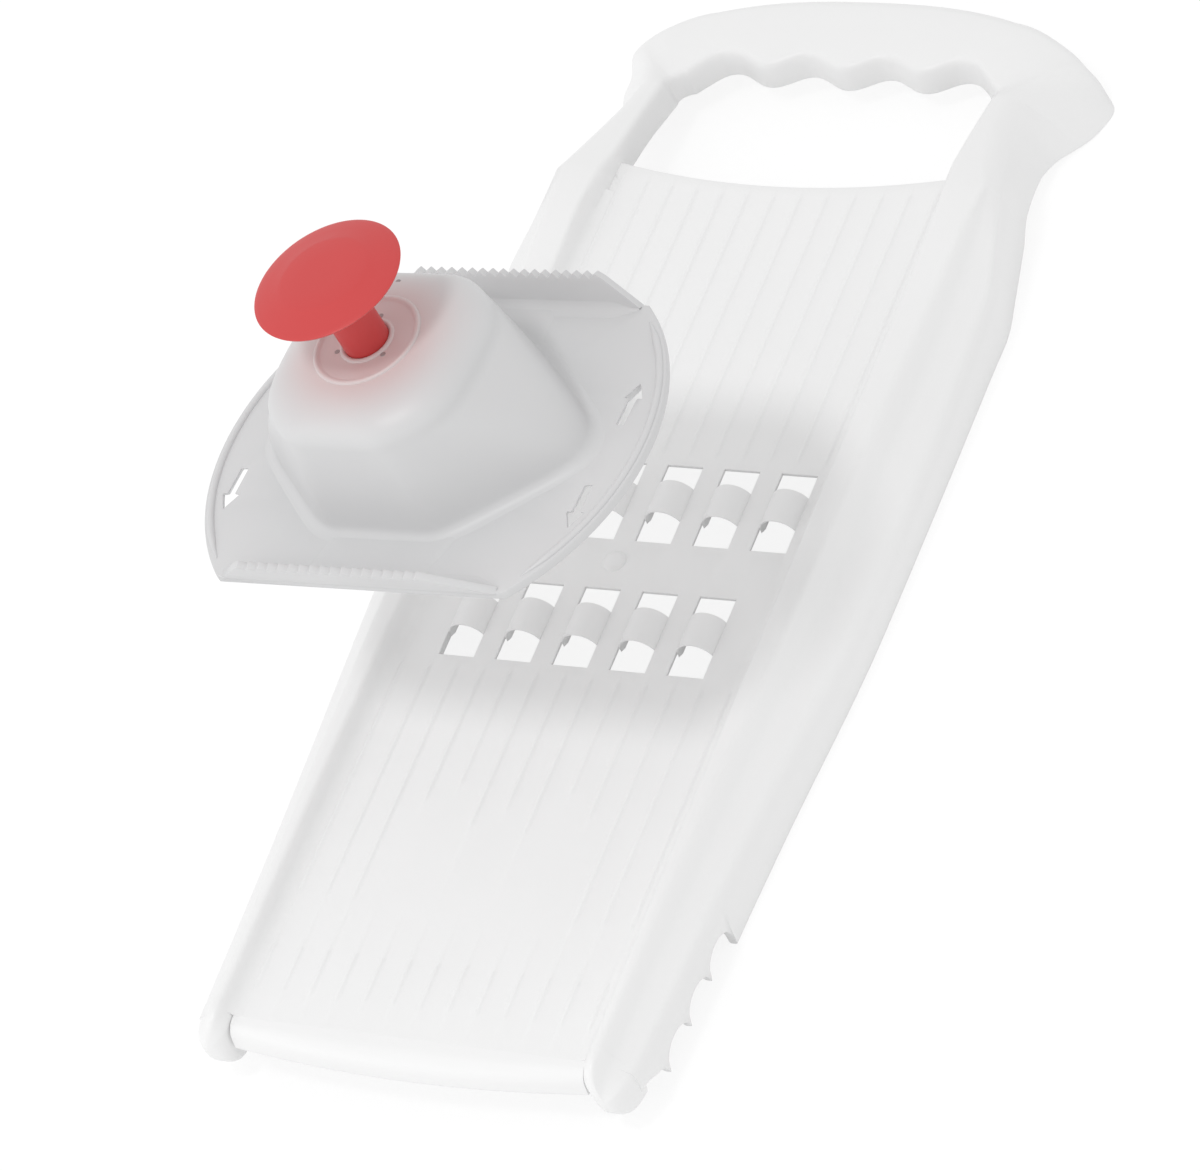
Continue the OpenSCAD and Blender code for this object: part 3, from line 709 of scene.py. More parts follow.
    def section(self, path: Sequence[Point2], radii: Sequence[float]) -> list[Point2]:
        """Close an outer section with its inner wall and round its corners.

        Args:
            path: The outer section.
            radii: How far the curve of each of its corners reaches.

        Returns:
            The closed section.
        """
        inside = inner_wall(path, self.wall)
        return rounded(list(path) + inside, list(radii) + [0.7] + [1.5] * (len(inside) - 1),
                       self.corner_steps)

    def half_rings(self) -> list[Ring]:
        """Lay out the right half of the frame.

        Returns:
            Its rings, from the foot to the middle of the grip.
        """
        rings: list[Ring] = []
        px, py = self.pivot
        fine = [self.front_y + i for i in range(0, 54)]
        scallop_rear = self.front_y - 2 + 4 * self.scallop_pitch
        stations = sorted([y for y in fine if y < scallop_rear] + [scallop_rear, scallop_rear + 0.05]
                          + [scallop_rear + 2 + 4 * i for i in range(0, 51)])
        for y in [s for s in stations if s < self.neck_y - 2]:
            path = self.section(self.side_path(y), self.SIDE_RADII)
            rings.append([Vector((u, y, z)) for u, z in path])
        for i in range(int(py - self.neck_y) + 1):
            y = self.neck_y + i
            path = self.section(self.row_at(self.ARM_ROWS, y), self.ARM_RADII)
            rings.append([Vector((u, y, z)) for u, z in path])
        for turn in range(2, 90, 2):
            path = self.section(self.row_at(self.FAN_ROWS, turn), self.FAN_RADII)
            rings.append([polar(u, math.radians(turn), z) + Vector((px, py, 0)) for u, z in path])
        for t in shares(36):
            x = px * (1 - t)
            path = self.section(self.grip_path(x), self.GRIP_RADII)
            rings.append([Vector((x, py + u, z)) for u, z in path])
        return rings

    def make_frame(self) -> Piece:
        """Make the horseshoe of rails, skirts, arms, wings and grip as one skin.

        Returns:
            The new piece.
        """
        right = self.half_rings()
        left = [[Vector((-p.x, p.y, p.z)) for p in ring] for ring in reversed(right[:-1])]
        return Mesher().loft(right + left).finish("board_frame", ON_BOARD, smooth=50)

    def make_foot(self, side: Side) -> Piece:
        """Make the bull-nosed end of one rail.

        Args:
            side: The rail's side.

        Returns:
            The new piece.
        """
        outline = rounded(self.FOOT_PATH, self.FOOT_RADII, 4)
        mid_x, mid_z = self.foot_mid
        rings: list[Ring] = []
        for share in shares(15):
            t = math.sin(math.pi / 2 * share)
            size = max(self.foot_tip, (1 - t ** self.nose_power) ** (1 / self.cheek_power))
            y = self.front_y + 2 - (self.foot_l + 2) * t
            slim = 1 - self.foot_slim * t / (outline[0][0] + 8 - self.deck_half)
            across = [self.deck_half + (u - self.deck_half) * slim - mid_x for u, _ in outline]
            rings.append([Vector((side.value * (mid_x + u * size), y, mid_z + (z - mid_z) * size))
                          for u, (_, z) in zip(across, outline)])
        return Mesher().loft(rings).finish(f"{side.name.lower()}_foot_cap", ON_BOARD, smooth=60)

    def make_lip(self) -> Piece:
        """Make the rolled front edge between the feet.

        Returns:
            The new piece.
        """
        rings: list[Ring] = []
        for x in spread(0.0, self.deck_half, 40):
            reach = self.lip_reach + self.lip_bow * (1 - (x / self.deck_half) ** 2)
            b, y = self.front_y, self.front_y - reach
            path = [(b, 0.0), (b - 0.45 * reach, -0.35), (y + 0.9, -2.2), (y, -self.lip_drop),
                    (y + self.wall, -self.lip_drop), (y + 0.9 + self.wall, -3.6), (b - 0.45 * reach, -2.6),
                    (b, -self.wall)]
            curve = rounded(path, (0, 2.5, 2.5, 0.8, 0.8, 2, 2, 0), 4)
            rings.append([Vector((x, p[0], p[1])) for p in curve])
        return Mesher().loft(rings).finish("rolled_front_lip", ON_BOARD, smooth=60)

    # ----- deck
    def rib_spans(self, index: int) -> list[Point2]:
        """List the stretches along Y where one rib stands up.

        Args:
            index: The rib's number, 0 in the middle.

        Returns:
            Each stretch's start and end.
        """
        far = abs(index) > 3
        step = 6 * ((abs(index) + 1) % 3)
        lower = self.lower_row[0] - (74 if far else 38 + step)
        return [(self.front_y + 8, self.front_y + 22), (lower, self.lower_row[0] - 3),
                (self.upper_row[1] + 3, self.rear_y - 3)]

    def rib_height(self, x: float, y: float) -> float:
        """Work out how far the deck's surface stands above its plain level.

        Args:
            x: The place across the deck.
            y: The place along it.

        Returns:
            The height.
        """
        index = round(x / self.rib_pitch)
        off = abs(x - index * self.rib_pitch)
        if abs(index) > self.rib_last or off > self.rib_half:
            return 0.0
        cross = 0.5 + 0.5 * math.cos(math.pi * off / self.rib_half)
        along = max(min(1.0, (y - a) / self.rib_run, (b - y) / self.rib_run)
                    for a, b in self.rib_spans(index))
        return self.rib_h * cross * max(0.0, along)

    def slot_cells(self) -> list[tuple[float, float, float, float]]:
        """List the slots.

        Returns:
            Each slot's limits: its x from and to, then its y from and to.
        """
        cells = []
        for count, (y0, y1) in ((5, self.lower_row), (6, self.upper_row)):
            for i in range(count):
                x = (i - (count - 1) / 2) * self.slot_pitch
                cells.append((x - self.slot_w / 2, x + self.slot_w / 2, y0, y1))
        return cells

    def in_slot(self, vert: bmesh.types.BMVert) -> bool:
        """Tell whether a vertex lies in a slot or on its edge.

        Args:
            vert: The vertex.

        Returns:
            True where it does.
        """
        slack = 0.01
        return any(x0 - slack <= vert.co.x <= x1 + slack and y0 - slack <= vert.co.y <= y1 + slack
                   for x0, x1, y0, y1 in self.slot_cells())

    def make_deck(self) -> Piece:
        """Make the ribbed deck with its slots as one plate.

        Returns:
            The new piece.
        """
        mesher = Mesher()
        bm = mesher.bm
        cells = self.slot_cells()
        start = self.rear_y - self.rear_run
        xs = {c for cell in cells for c in cell[:2]}
        xs |= {x for i in range(-self.rib_last, self.rib_last + 1)
               for x in spread(i * self.rib_pitch, self.rib_half, 6)}
        ys = {c for cell in cells for c in cell[2:]} | {start}
        for i in range(self.rib_last + 1):
            for a, b in self.rib_spans(i):
                ys |= {a, a + self.rib_run, b - self.rib_run, b}
        bmesh.ops.create_grid(bm, x_segments=1, y_segments=1, size=1.0)
        middle = (self.front_y + self.rear_y) / 2
        bmesh.ops.scale(bm, vec=(self.deck_half, (self.rear_y - self.front_y) / 2, 1), verts=bm.verts)
        bmesh.ops.translate(bm, vec=(0, middle, 0), verts=bm.verts)
        for cuts, normal in ((xs, (1, 0, 0)), (ys, (0, 1, 0))):
            for c in sorted(cuts):
                bmesh.ops.bisect_plane(bm, geom=bm.verts[:] + bm.edges[:] + bm.faces[:],
                                       plane_co=(c, c, 0), plane_no=normal)
        gone = [f for f in bm.faces if any(
            x0 < f.calc_center_median().x < x1 and y0 < f.calc_center_median().y < y1
            for x0, x1, y0, y1 in cells)]
        bmesh.ops.delete(bm, geom=gone, context="FACES")
        top = bm.faces[:]
        grown = bmesh.ops.extrude_face_region(bm, geom=top, use_keep_orig=True)["geom"]
        low = [v for v in grown if isinstance(v, bmesh.types.BMVert)]
        bmesh.ops.translate(bm, vec=(0, 0, -self.wall), verts=low)
        for vert in low:
            if self.in_slot(vert):
                vert.co.z = -self.slot_lip
        for vert in bm.verts:
            if vert.co.z > -0.1:
                vert.co.z += self.rib_height(vert.co.x, vert.co.y)
            if vert.co.y > start:
                extra = self.rear_bow * (vert.co.x / self.deck_half) ** 2
                vert.co.y += extra * (vert.co.y - start) / self.rear_run
        steep = 1.3
        rims = [e for e in bm.edges if len(e.link_faces) == 2 and e.calc_face_angle(0.0) > steep
                and (self.in_slot(e.verts[0]) or min(v.co.y for v in e.verts) > self.rear_y - 0.1)
                and abs(e.verts[0].co.z - e.verts[1].co.z) < 1.0]
        mesher.bevel(rims, self.edge_r)
        return mesher.finish("ribbed_deck", ON_BOARD, smooth=50)

    def make_fillet(self, side: Side) -> Piece:
        """Make the soft hollow between the deck and one rail's inner slope.

        Args:
            side: The rail's side.

        Returns:
            The new piece.
        """
        rings: list[Ring] = []
        edge = self.deck_half
        near, corner = Vector((edge - 2.4, 0.02)), Vector((edge + 0.1, 0.05))
        for t in shares(60):
            y = self.front_y + (self.neck_y - 3 - self.front_y) * t
            lean = (self.rail_in - edge) / self.rail_z.at(y)
            far = Vector((edge + lean * 2.5 - 0.02, 2.5))
            path = hollow(near, corner, far)
            path += [Vector((far.x + 0.3, 2.0)), Vector((edge + 0.3, -0.3)), Vector((near.x, -0.3))]
            rings.append([Vector((side.value * p.x, y, p.y)) for p in path])
        return Mesher().loft(rings).finish(f"{side.name.lower()}_rail_fillet", ON_BOARD, smooth=60)

    def make_boss(self) -> Piece:
        """Make the small round boss between the rows of cutters."""
        profile = [(0, 0.85), (1.6, 0.82), (2.5, 0.62), (3.0, 0.3), (3.2, 0.0), (3.2, -0.4), (0, -0.4)]
        return Mesher().lathe(profile, 48).finish("deck_boss", ON_BOARD)

    def make_arch(self, name: str, x: float, y: float) -> Piece:
        """Make one half-round cutter with its two thin cutting edges.

        Args:
            name: The piece's name.
            x: Place of its middle across the board.
            y: Place of its middle along the board.

        Returns:
            The new piece.
        """
        half = self.slot_w / 2
        outer = (half ** 2 + self.arch_rise ** 2) / (2 * self.arch_rise)
        low = self.arch_rise - outer
        rings: list[Ring] = []
        for along, thick in ((-1, 0.3), (-0.97, 0.45), (-0.75, 1.0), (0.75, 1.0), (0.97, 0.45), (1, 0.3)):
            path: list[Point2] = [(-half, -self.wall), (-half, 0.0)]
            reach = math.asin(half / outer)
            path += [(outer * math.sin(a), low + outer * math.cos(a)) for a in spread(0.0, reach, 16)[1:-1]]
            path += [(half, 0.0), (half, -self.wall)]
            inner = outer - thick
            side = math.pi / 2 + math.asin(min(0.9, (self.wall + low) / inner))
            path += [(inner * math.sin(a), low + inner * math.cos(a)) for a in spread(0.0, -side, 16)]
            rings.append([Vector((x + u, y + along * self.arch_l / 2, z)) for u, z in path])
        return Mesher().loft(rings).finish(name, ON_BOARD, smooth=35)

    def build(self) -> None:
        """Make and dress every piece of the board."""
        done: list[tuple[Piece, list[str]]] = [
            (self.make_frame(), [f"{s}_{part}" for s in ("left", "right")
                                 for part in ("rail", "skirt", "hem", "arm", "wing")] + ["hand_grip"]),
            (self.make_deck(), ["lower_deck", "upper_deck", "middle_band", "lower_webs", "upper_webs"]),
            (self.make_lip(), ["front_lip"]), (self.make_boss(), ["centre_boss"]),
            (self.make_fillet(Side.LEFT), []), (self.make_fillet(Side.RIGHT), []),
            (self.make_foot(Side.LEFT), ["left_foot"]), (self.make_foot(Side.RIGHT), ["right_foot"])]
        for row, count, (y0, y1) in (("lower", 5, self.lower_row), ("upper", 6, self.upper_row)):
            for i in range(count):
                x = (i - (count - 1) / 2) * self.slot_pitch
                arch = self.make_arch(f"{row}_cutter_{i + 1}", x, (y0 + y1) / 2)
                done.append((arch, [f"{row}_arch_{i + 1}"]))
        for obj, nodes in done:
            dress(obj, "board", self.finish, nodes)


# ---------------------------------------------------------------- food holder
@dataclass
class FoodHolder:
    """The lifted food holder with its crown, brim and toothed fences."""

    finish: Plastic
    place: Matrix
    brim_r: float = 59.6
    brim_half: float = 43.5
    brim_t: float = 2.4
    crown_h: float = 36.6
    crown_wall: float = 2.0
    crown_rx: float = 46.0
    crown_ry: float = 29.8
    crown_diag: float = 33.4
    crown_flat: float = 28.9
    crown_flat_lean: float = 2.7
    crown_top_r: float = 28.8
    side_top: float = 0.94
    side_bend: float = 1.4
    slant_top: float = 1.02
    slant_bend: float = 1.2
    foot_power: float = 20.0
    power_drop: float = 11.0
    even_power: float = 10.0
    edge_foot: float = 0.2
    edge_gain: float = 1.05
    shoulder_h: float = 8.8
    shoulder_power: float = 0.97
    ring_r: float = 13.3
    stem_r: float = 5.65
    fence_h: float = 9.8
    fence_lean: float = 3.8
    fence_foot: float = 39.2
    fence_top: float = 27.2
    fence_shift: float = 2.9
    arrow_x: float = 49.4
    arrow_y: float = 15.2
    arrow_shift: float = 1.9
    arrow_flare: float = 1.6
    tooth: float = 3.0
    tooth_h: float = 1.4
    field_y: float = 27.5
    bead_in: float = 1.7
    bead_z: float = 1.15
    bead_across: float = 0.95
    bead_up: float = 0.85
    bead_end: float = 4.0
    foot_share: float = 0.098
    foot_spread: float = 3.0
    steps: int = 144
    # Each raised field's way along the board and its corners' x, and its rise as (growth, height)
    FIELDS = ((-1, (-11.5, 20.0, 15.0, -15.5)), (1, (-15.7, 15.7, 14.3, -14.3)))
    FIELD_RISE = ((1.5, -0.1), (1.2, 0.03), (0.5, 0.2), (-0.2, 0.28), (-1.2, 0.3))
    # Outline of an arrow and places of the mould's pin marks, as (turn in degrees, distance, drop)
    ARROW = ((-0.9, -6.0), (0.9, -6.0), (0.9, 2.0), (2.3, 2.0), (0.0, 6.2), (-2.3, 2.0), (-0.9, 2.0))
    MARKS = ((89, 7.6, 0.1), (209, 7.6, 0.1), (329, 7.6, 0.1), (93, 18.8, 0.85), (247, 16.5, 0.45))

    def reach(self, angle: float, share: float) -> float:
        """Work out the crown's radius in one direction.

        Args:
            angle: Direction in radians.
            share: 0 at the foot, 1 at the round shoulder.

        Returns:
            The distance from the crown's axis.
        """
        top = self.crown_top_r
        side = self.crown_rx + (self.side_top * top - self.crown_rx) * share ** self.side_bend
        slant = self.crown_diag + (self.slant_top * top - self.crown_diag) * share ** self.slant_bend
        end = self.crown_ry + (top - self.crown_ry) * share
        power = self.foot_power - self.power_drop * share
        total = 0.0
        for turn, far in ((0, side), (50, slant), (90, end), (130, slant),
                          (180, side), (230, slant), (270, end), (310, slant)):
            total += (max(0.0, math.cos(angle - math.radians(turn))) / far) ** power
        flat = (self.crown_flat - self.crown_flat_lean * share) / max(abs(math.sin(angle)), 0.1)
        # Against a power of even_power - share, the corners stand out as much as the facets draw in
        body = total ** (-1 / power) * 2 ** (0.5 / power - 0.5 / (self.even_power - share))
        edge = self.edge_foot + self.edge_gain * share
        blend = max(0.0, edge - abs(body - flat)) / edge
        return min(body, flat) - blend * blend * edge / 4

    def turns(self) -> list[float]:
        """Return the directions of a ring's points."""
        return [math.tau * t for t in shares(self.steps)[:-1]]

    def crown_ring(self, share: float, inset: float = 0.0) -> Ring:
        """Lay a ring round the crown's wall.

        Args:
            share: Its height, from 0 at the foot to 1 at the round shoulder.
            inset: Its distance inside the wall's outer face.

        Returns:
            The ring.
        """
        foot = self.brim_t / 2
        z = foot + share * (self.crown_h - self.shoulder_h - foot)
        return [polar(self.reach(a, share) - inset, a, z) for a in self.turns()]

    def shoulder_ring(self, bend: float, inset: float = 0.0) -> Ring:
        """Lay a ring round the crown's round shoulder.

        Args:
            bend: Its angle up the shoulder's curve, in radians.
            inset: Its distance inside the outer face.

        Returns:
            The ring.
        """
        near, power = self.ring_r, self.shoulder_power
        z = self.crown_h - inset * math.sin(bend) - self.shoulder_h * (1 - math.sin(bend) ** power)
        return [polar(near + (self.reach(a, 1.0) - inset - near) * math.cos(bend) ** power, a, z)
                for a in self.turns()]

    def make_crown(self) -> Piece:
        """Make the crown's thin shell with its spread foot and round shoulder.

        Returns:
            The new piece.
        """
        foot = [self.crown_ring(self.foot_share * (1 - math.cos(b)), -self.foot_spread * (1 - math.sin(b)))
                for b in (math.pi / 2 * i / 7 for i in range(7))]
        wall = [self.crown_ring(self.foot_share + (1 - self.foot_share) * i / 16) for i in range(17)]
        top = [self.shoulder_ring(math.pi / 2 * i / 12) for i in range(1, 13)]
        under = [self.shoulder_ring(math.pi / 2 * i / 6, self.crown_wall) for i in range(6, -1, -1)]
        inside = [self.crown_ring(i / 8, self.crown_wall) for i in range(7, -1, -1)]
        mesher = Mesher().loft(foot + wall + top + under + inside, closed=True)
        return mesher.finish("holder_crown", self.place, smooth=50)

    def arrow(self, side: int, way: int, flare: float) -> Ring:
        """Draw the outline of a direction arrow in the brim.

        Args:
            side: 1 for the right of the brim, -1 for the left.
            way: 1 at the rear and pointing back, -1 at the front and pointing forwards.
            flare: Widening on every side.

        Returns:
            The outline, in the brim's upper face.
        """
        x, y = side * self.arrow_x, way * self.arrow_y - self.arrow_shift
        return [Vector((x + way * (u + (math.copysign(flare, u) if u else 0.0)),
                        y + way * (v + (flare if v > 5 else -flare)), self.brim_t / 2))
                for u, v in self.ARROW]

    def make_brim(self) -> Piece:
        """Make the brim with the crown's mouth and the arrows cut through it.

        Returns:
            The new piece.
        """
        corner = math.asin(self.brim_half / self.brim_r)
        depth = Vector((0, 0, -self.brim_t))
        edge = [polar(self.brim_r, a, self.brim_t / 2) for centre in (0.0, math.pi)
                for a in spread(centre, corner, 60)]
        mouth = [Vector((p.x, p.y, self.brim_t / 2))
                 for p in reversed(self.crown_ring(0.0, self.crown_wall))]
        arrows, flared = ([self.arrow(side, way, flare) for side in (-1, 1) for way in (-1, 1)]
                          for flare in (0.0, self.arrow_flare))
        mesher = Mesher()
        mesher.plate([edge, mouth, *arrows], depth)
        for p, q in zip(sum(arrows, []), sum(flared, [])):
            foot = [v for v in mesher.bm.verts if (v.co - p - depth).length < 1e-4]
            bmesh.ops.translate(mesher.bm, verts=foot, vec=q - p)
        mesher.soften(0.35, 60.0)
        return mesher.finish("holder_brim_plate", self.place, smooth=50)

    def make_fields(self) -> Piece:
        """Make the shallow raised fields between the crown and the fences.

        Returns:
            The new piece.
        """
        mesher = Mesher()
        near, far = self.field_y, self.brim_half - self.crown_wall
        for way, corners in self.FIELDS:
            rings = []
            for grow, z in self.FIELD_RISE:
                shape = [(u + grow * math.copysign(1, u), v)
                         for u, v in zip(corners, (near, near, far, far))]
                path = rounded(shape, (3, 3, 1, 1), 5)
                rings.append([Vector((u, v * way, self.brim_t / 2 + z)) for u, v in path])
            mesher.loft(rings)
        return mesher.finish("brim_fields", self.place, smooth=50)

    def turned(self, end: End) -> Matrix:
        """Return the place of a piece modelled for the rear edge, at either edge."""
        return self.place @ Matrix.Rotation(end.value, 4, "Z")

    def make_fence(self, end: End) -> Piece:
        """Make one toothed fence, standing on a straight edge and leaning outwards.

        Args:
            end: The edge that it stands on.

        Returns:
            The new piece.
        """
        teeth = int(2 * self.fence_top / self.tooth)
        start = self.fence_shift - teeth * self.tooth / 2
        low = self.fence_h - self.tooth_h
        shape = [(-self.fence_foot, 0.9), (self.fence_foot, 0.9),
                 (self.fence_shift + self.fence_top + 0.6, low)]
        for i in range(teeth - 1, -1, -1):
            shape += [(start + (i + 0.55) * self.tooth, self.fence_h), (start + i * self.tooth, low)]
        mesher = Mesher()
        mesher.plate([[Vector((u, 0, v)) for u, v in shape]], Vector((0, -self.crown_wall, 0)))
        mesher.soften(0.22, 30.0)
        lean = Matrix.Rotation(-math.atan(self.fence_lean / self.fence_h), 4, "X")
        where = self.turned(end) @ Matrix.Translation((0, self.brim_half, 0)) @ lean
        return mesher.finish(f"{end.name.lower()}_toothed_fence", where, smooth=40)

    def make_cove(self, end: End) -> Piece:
        """Make the soft hollow between the brim and the inner face of one fence.

        Args:
            end: The edge that the fence stands on.

        Returns:
            The new piece.
        """
        top = self.brim_t / 2
        lean = self.fence_lean / self.fence_h
        foot_y = self.brim_half - self.crown_wall + lean * top
        rings: list[Ring] = []
        for x in spread(0.0, self.fence_foot - 0.5, 40):
            reach = 0.2 + 2.8 * min(1.0, (self.fence_foot - abs(x)) / 7)
            near, corner = Vector((foot_y - reach, top + 0.02)), Vector((foot_y, top + 0.02))
            far = Vector((foot_y + lean * reach, top + reach))
            path = hollow(near, corner, far)
            path += [Vector((far.x + 0.6, far.y)), Vector((foot_y + 0.6, top - 0.4)),
                     Vector((near.x, top - 0.4))]
            rings.append([Vector((x, p.x, p.y)) for p in path])
        return Mesher().loft(rings).finish(f"{end.name.lower()}_fence_cove", self.turned(end), smooth=60)

    def make_beads(self) -> Piece:
        """Make the raised beads along the curved edges.

        Returns:
            The new piece.
        """
        mesher = Mesher()
        reach = math.asin((self.brim_half - self.bead_end) / self.brim_r)
        middle = self.brim_r - self.bead_in
        for centre in (0.0, math.pi):
            rings = []
            for i, a in enumerate(spread(centre, reach, 60)):
                size = min(1.0, 0.25 + 3 * min(i, 60 - i) / 20)
                loop = [(middle + size * self.bead_across * math.cos(b),
                         self.bead_z + size * self.bead_up * math.sin(b))
                        for b in (math.tau * k / 14 for k in range(14))]
                rings.append([polar(r, a, z) for r, z in loop])
            mesher.loft(rings)
        return mesher.finish("brim_beads", self.place, smooth=60)

    def make_neck(self) -> Piece:
        """Make the crown's top disc with its ring bead and collar.

        Returns:
            The new piece.
        """
        h, r, bore = self.crown_h, self.ring_r, self.stem_r
        low = h - self.crown_wall
        profile = [(bore, low), (r, low), (r + 0.35, h - 0.2), (r + 0.3, h + 0.25), (r - 0.1, h + 0.55),
                   (r - 0.7, h + 0.5), (r - 1.1, h + 0.1), (r - 1.5, h - 0.1), (bore + 1.3, h - 0.1),
                   (bore + 1.1, h + 0.25), (bore + 0.7, h + 0.4), (bore + 0.3, h + 0.35), (bore, h + 0.1),
                   (bore, low)]
        return Mesher().lathe(profile, 128).finish("neck_disc", self.place, smooth=50)

    def make_marks(self) -> Piece:
        """Make the round pin marks left by the mould round the neck.

        Returns:
            The new piece.
        """
        mesher = Mesher()
        for turn, far, drop in self.MARKS:
            mesher.peg(turn, far, self.crown_h - drop, (0.75, 0.6, 0.25), 20)
        return mesher.finish("pin_marks", self.place, smooth=50)

    def build(self) -> None:
        """Make and dress every piece of the holder."""
        marks = Plastic("Pin mark grey", (0.36, 0.33, 0.33), roughness=0.5)
        for obj, nodes in ((self.make_crown(), ["holder_dome"]), (self.make_brim(), ["holder_brim"]),
                           (self.make_fence(End.REAR), ["rear_fence"]),
                           (self.make_fence(End.FRONT), ["front_fence"]),
                           (self.make_beads(), ["rim_beads"]), (self.make_neck(), ["neck_ring"]),
                           (self.make_fields(), []), (self.make_cove(End.FRONT), []),
                           (self.make_cove(End.REAR), [])):
            dress(obj, "holder", self.finish, nodes)
        dress(self.make_marks(), "holder", marks, [])


# ---------------------------------------------------------------- pusher
@dataclass
class Pusher:
    """The red mushroom pusher with its stem and plunger."""

    finish: Plastic
    place: Matrix
    stem_r: float = 5.6
    knob_r: float = 18.5
    under: float = 51.4
    rim: float = 57.4
    rise: float = 2.6
    plunger_top: float = 34.0
    plunger_r: float = 15.0
    plunger_t: float = 3.0
    pin_count: int = 6
    pin_at: float = 9.3
    pin_r: float = 1.2
    pin_tip: float = 0.4
    pin_l: float = 7.0

    def make_knob(self) -> Piece:
        """Make the shallow domed knob with its flatter middle.

        Returns:
            The new piece.
        """
        r, z, top = self.knob_r, self.rim, self.rim + self.rise
        low, neck = self.under, self.stem_r
        profile = [(0, low), (neck, low), (neck + 0.5, low + 0.9), (neck + 1.6, low + 1.9),
                   (r * 0.55, z - 2.6), (r * 0.8, z - 1.5), (r - 1.0, z - 0.75), (r - 0.25, z - 0.45), (r, z),
                   (r - 0.3, z + 0.2), (r - 1.1, z + 0.5), (r * 0.8, z + 1.2), (r * 0.67, z + 1.8),
                   (r * 0.62, z + 2.1), (r * 0.57, z + 2.32), (r * 0.3, top - 0.06), (0, top)]
        return Mesher().lathe(profile, 128).finish("pusher_cap", self.place, smooth=50)

    def make_stem(self) -> Piece:
        """Make the round stem that runs in the neck."""
        r, low, top = self.stem_r, self.plunger_top, self.under
        return Mesher().lathe([(0, low), (r, low), (r, top), (0, top)]).finish("pusher_shaft", self.place)

    def make_plunger(self) -> Piece:
        """Make the plunger disc with its rounded rim.

        Returns:
            The new piece.
        """
        r, top, low = self.plunger_r, self.plunger_top, self.plunger_top - self.plunger_t
        profile = [(0, top), (r - 0.6, top), (r - 0.15, top - 0.2), (r, top - 0.7), (r, low + 0.5),
                   (r - 0.5, low), (0, low)]
        return Mesher().lathe(profile).finish("plunger_plate", self.place)

    def make_pins(self) -> Piece:
        """Make the ring of pins that bite into the food.

        Returns:
            The new piece.
        """
        mesher = Mesher()
        for i in range(self.pin_count):
            turn = 360 / self.pin_count * i
            mesher.peg(turn, self.pin_at, self.plunger_top - self.plunger_t - self.pin_l / 2,
                       (self.pin_tip, self.pin_r, self.pin_l), 24)
        return mesher.finish("plunger_pins", self.place, smooth=50)

    def build(self) -> None:
        """Make and dress every piece of the pusher."""
        for obj, body, node in ((self.make_stem(), "stem", "pusher_stem"),
                                (self.make_knob(), "pusher_head", "pusher_knob"),
                                (self.make_plunger(), "pusher_head", "plunger_disc"),
                                (self.make_pins(), "pusher_head", "food_pins")):
            dress(obj, body, self.finish, [node])


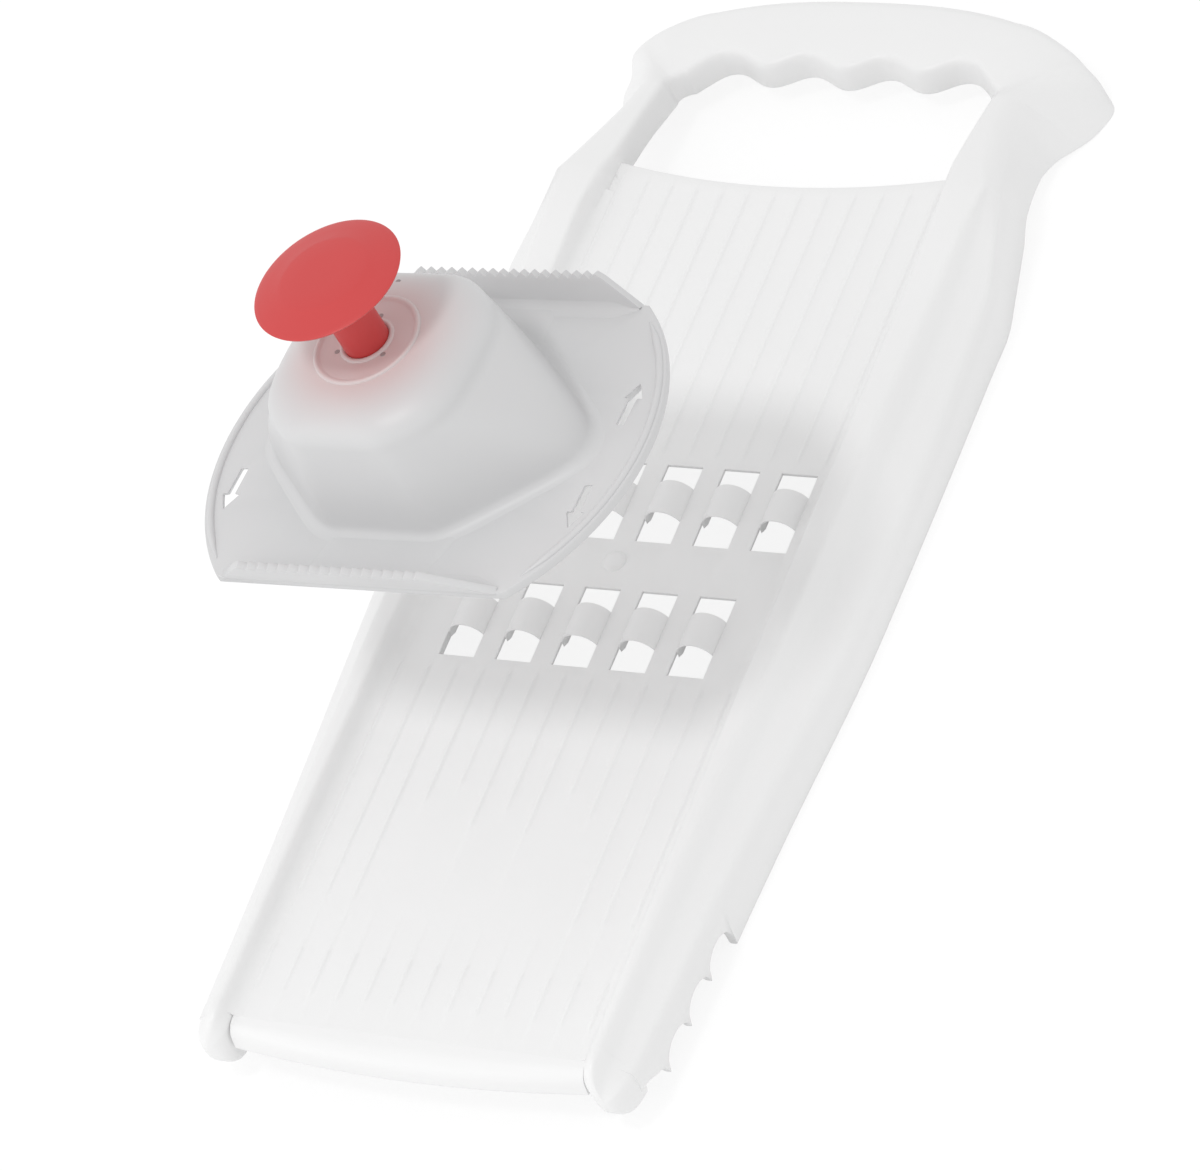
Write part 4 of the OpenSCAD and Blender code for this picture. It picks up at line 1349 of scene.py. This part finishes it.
# ---------------------------------------------------------------- studio
@dataclass
class Studio:
    """The pale floor, the soft light and the camera."""

    camera_at: Point3 = (0.71004, -0.787, 1.09428)
    target: Point3 = (-0.00113, -0.02868, 0.022)
    roll_deg: float = -28.97
    lens_mm: float = 181.68
    world_light: float = 0.82
    key_watts: float = 5.7
    key_size: float = 0.26
    key_at: Point3 = (0.0, -0.62, 1.6)
    fill_watts: float = 5.0
    fill_size: float = 1.4
    fill_at: Point3 = (-1.4, -1.3, 1.0)
    floor_half: float = 4000.0
    floor_shade: float = 0.8
    floor_seen: float = 0.18
    floor_glow: float = 0.2
    floor_lift: float = 0.64

    def make_camera(self) -> None:
        """Place the camera."""
        data = bpy.data.cameras.new("view")
        data.sensor_width = 36.0
        data.sensor_fit = "HORIZONTAL"
        data.lens = self.lens_mm
        data.clip_end = 20.0
        gaze = Vector(self.target) - Vector(self.camera_at)
        turn = gaze.to_track_quat("-Z", "Y").to_matrix().to_4x4()
        camera = link("view", data)
        camera.matrix_world = Matrix.Translation(self.camera_at) @ turn @ Matrix.Rotation(
            math.radians(self.roll_deg), 4, "Z")
        bpy.context.scene.camera = camera

    def make_floor(self) -> None:
        """Lay the white floor, which looks evenly white and still takes the object's shadow."""
        mesher = Mesher()
        bmesh.ops.create_grid(mesher.bm, x_segments=2, y_segments=2, size=self.floor_half)
        floor = mesher.finish("studio_floor", Matrix.Translation((0, 0, -0.05)))
        mat = bpy.data.materials.new("Studio white")
        mat.use_nodes = True
        nodes = Nodes(mat.node_tree)
        seen = nodes.add("ShaderNodeLightPath").outputs["Is Camera Ray"]
        shade = nodes.add("ShaderNodeMix", {"A": grey(self.floor_shade), "B": grey(self.floor_seen),
                                            "Factor": seen}, data_type="RGBA")
        nodes.feed(mat.node_tree.nodes["Principled BSDF"], {
            "Base Color": shade.outputs["Result"], "Roughness": 0.9, "Specular IOR Level": 0.0,
            "Emission Color": grey(1.0),
            "Emission Strength": nodes.calculate("MULTIPLY_ADD", seen, self.floor_lift, self.floor_glow)})
        floor.data.materials.append(mat)

    def hang(self, name: str, shape: str, size: float, watts: float, place: Matrix) -> None:
        """Hang an area lamp.

        Args:
            name: The lamp's name.
            shape: Its outline.
            size: Its width in metres.
            watts: Its power.
            place: Where it hangs; it shines down its own -Z.
        """
        data = bpy.data.lights.new(name, "AREA")
        data.shape, data.size, data.energy = shape, size, watts
        link(name, data).matrix_world = place

    def make_light(self) -> None:
        """Hang one lamp over the board and one to its side, and fill the room with even light."""
        self.hang("overhead", "DISK", self.key_size, self.key_watts, Matrix.Translation(self.key_at))
        turn = (-Vector(self.fill_at)).to_track_quat("-Z", "Y").to_matrix().to_4x4()
        self.hang("side fill", "SQUARE", self.fill_size, self.fill_watts,
                  Matrix.Translation(self.fill_at) @ turn)
        world = bpy.data.worlds.new("studio")
        world.use_nodes = True
        nodes = Nodes(world.node_tree)
        seen = nodes.add("ShaderNodeLightPath").outputs["Is Camera Ray"]
        nodes.feed(world.node_tree.nodes["Background"], {
            "Color": grey(1.0),
            "Strength": nodes.calculate("MULTIPLY_ADD", seen, 1.0 - self.world_light, self.world_light)})
        bpy.context.scene.world = world

    def build(self) -> None:
        """Set up the whole studio."""
        bpy.context.scene.view_settings.view_transform = "Standard"
        self.make_floor()
        self.make_light()
        self.make_camera()


def main() -> None:
    """Build the board, the holder, the pusher and the studio."""
    logging.basicConfig(level=logging.INFO, format="%(name)s: %(message)s")
    tilt = Matrix.Rotation(math.radians(HOLDER_TILT), 4, Vector(HOLDER_AXIS).normalized())
    lifted = ON_BOARD @ Matrix.Translation(HOLDER_AT) @ tilt
    neck = lifted @ Vector((0, 0, FoodHolder.crown_h))
    white = Plastic("White board plastic", (0.86, 0.86, 0.86), roughness=0.38, clouding=0.02)
    # The milky holder's pink tint round the neck is painted light, standing in for the red pusher shining
    # through its wall
    milky = Plastic("Milky holder plastic", (0.645, 0.645, 0.65), roughness=0.42, clouding=0.03,
                    glow=(0.69, 0.62, 0.615), glow_centre=tuple(neck * MM), glow_reach=0.027)
    red = Plastic("Red pusher plastic", (0.60, 0.06, 0.06), roughness=0.42, clouding=0.05, grain=0.2)
    for part in (Board(white), FoodHolder(milky, lifted), Pusher(red, lifted), Studio()):
        LOG.info("building %s", type(part).__name__)
        part.build()


if __name__ == "__main__":
    main()
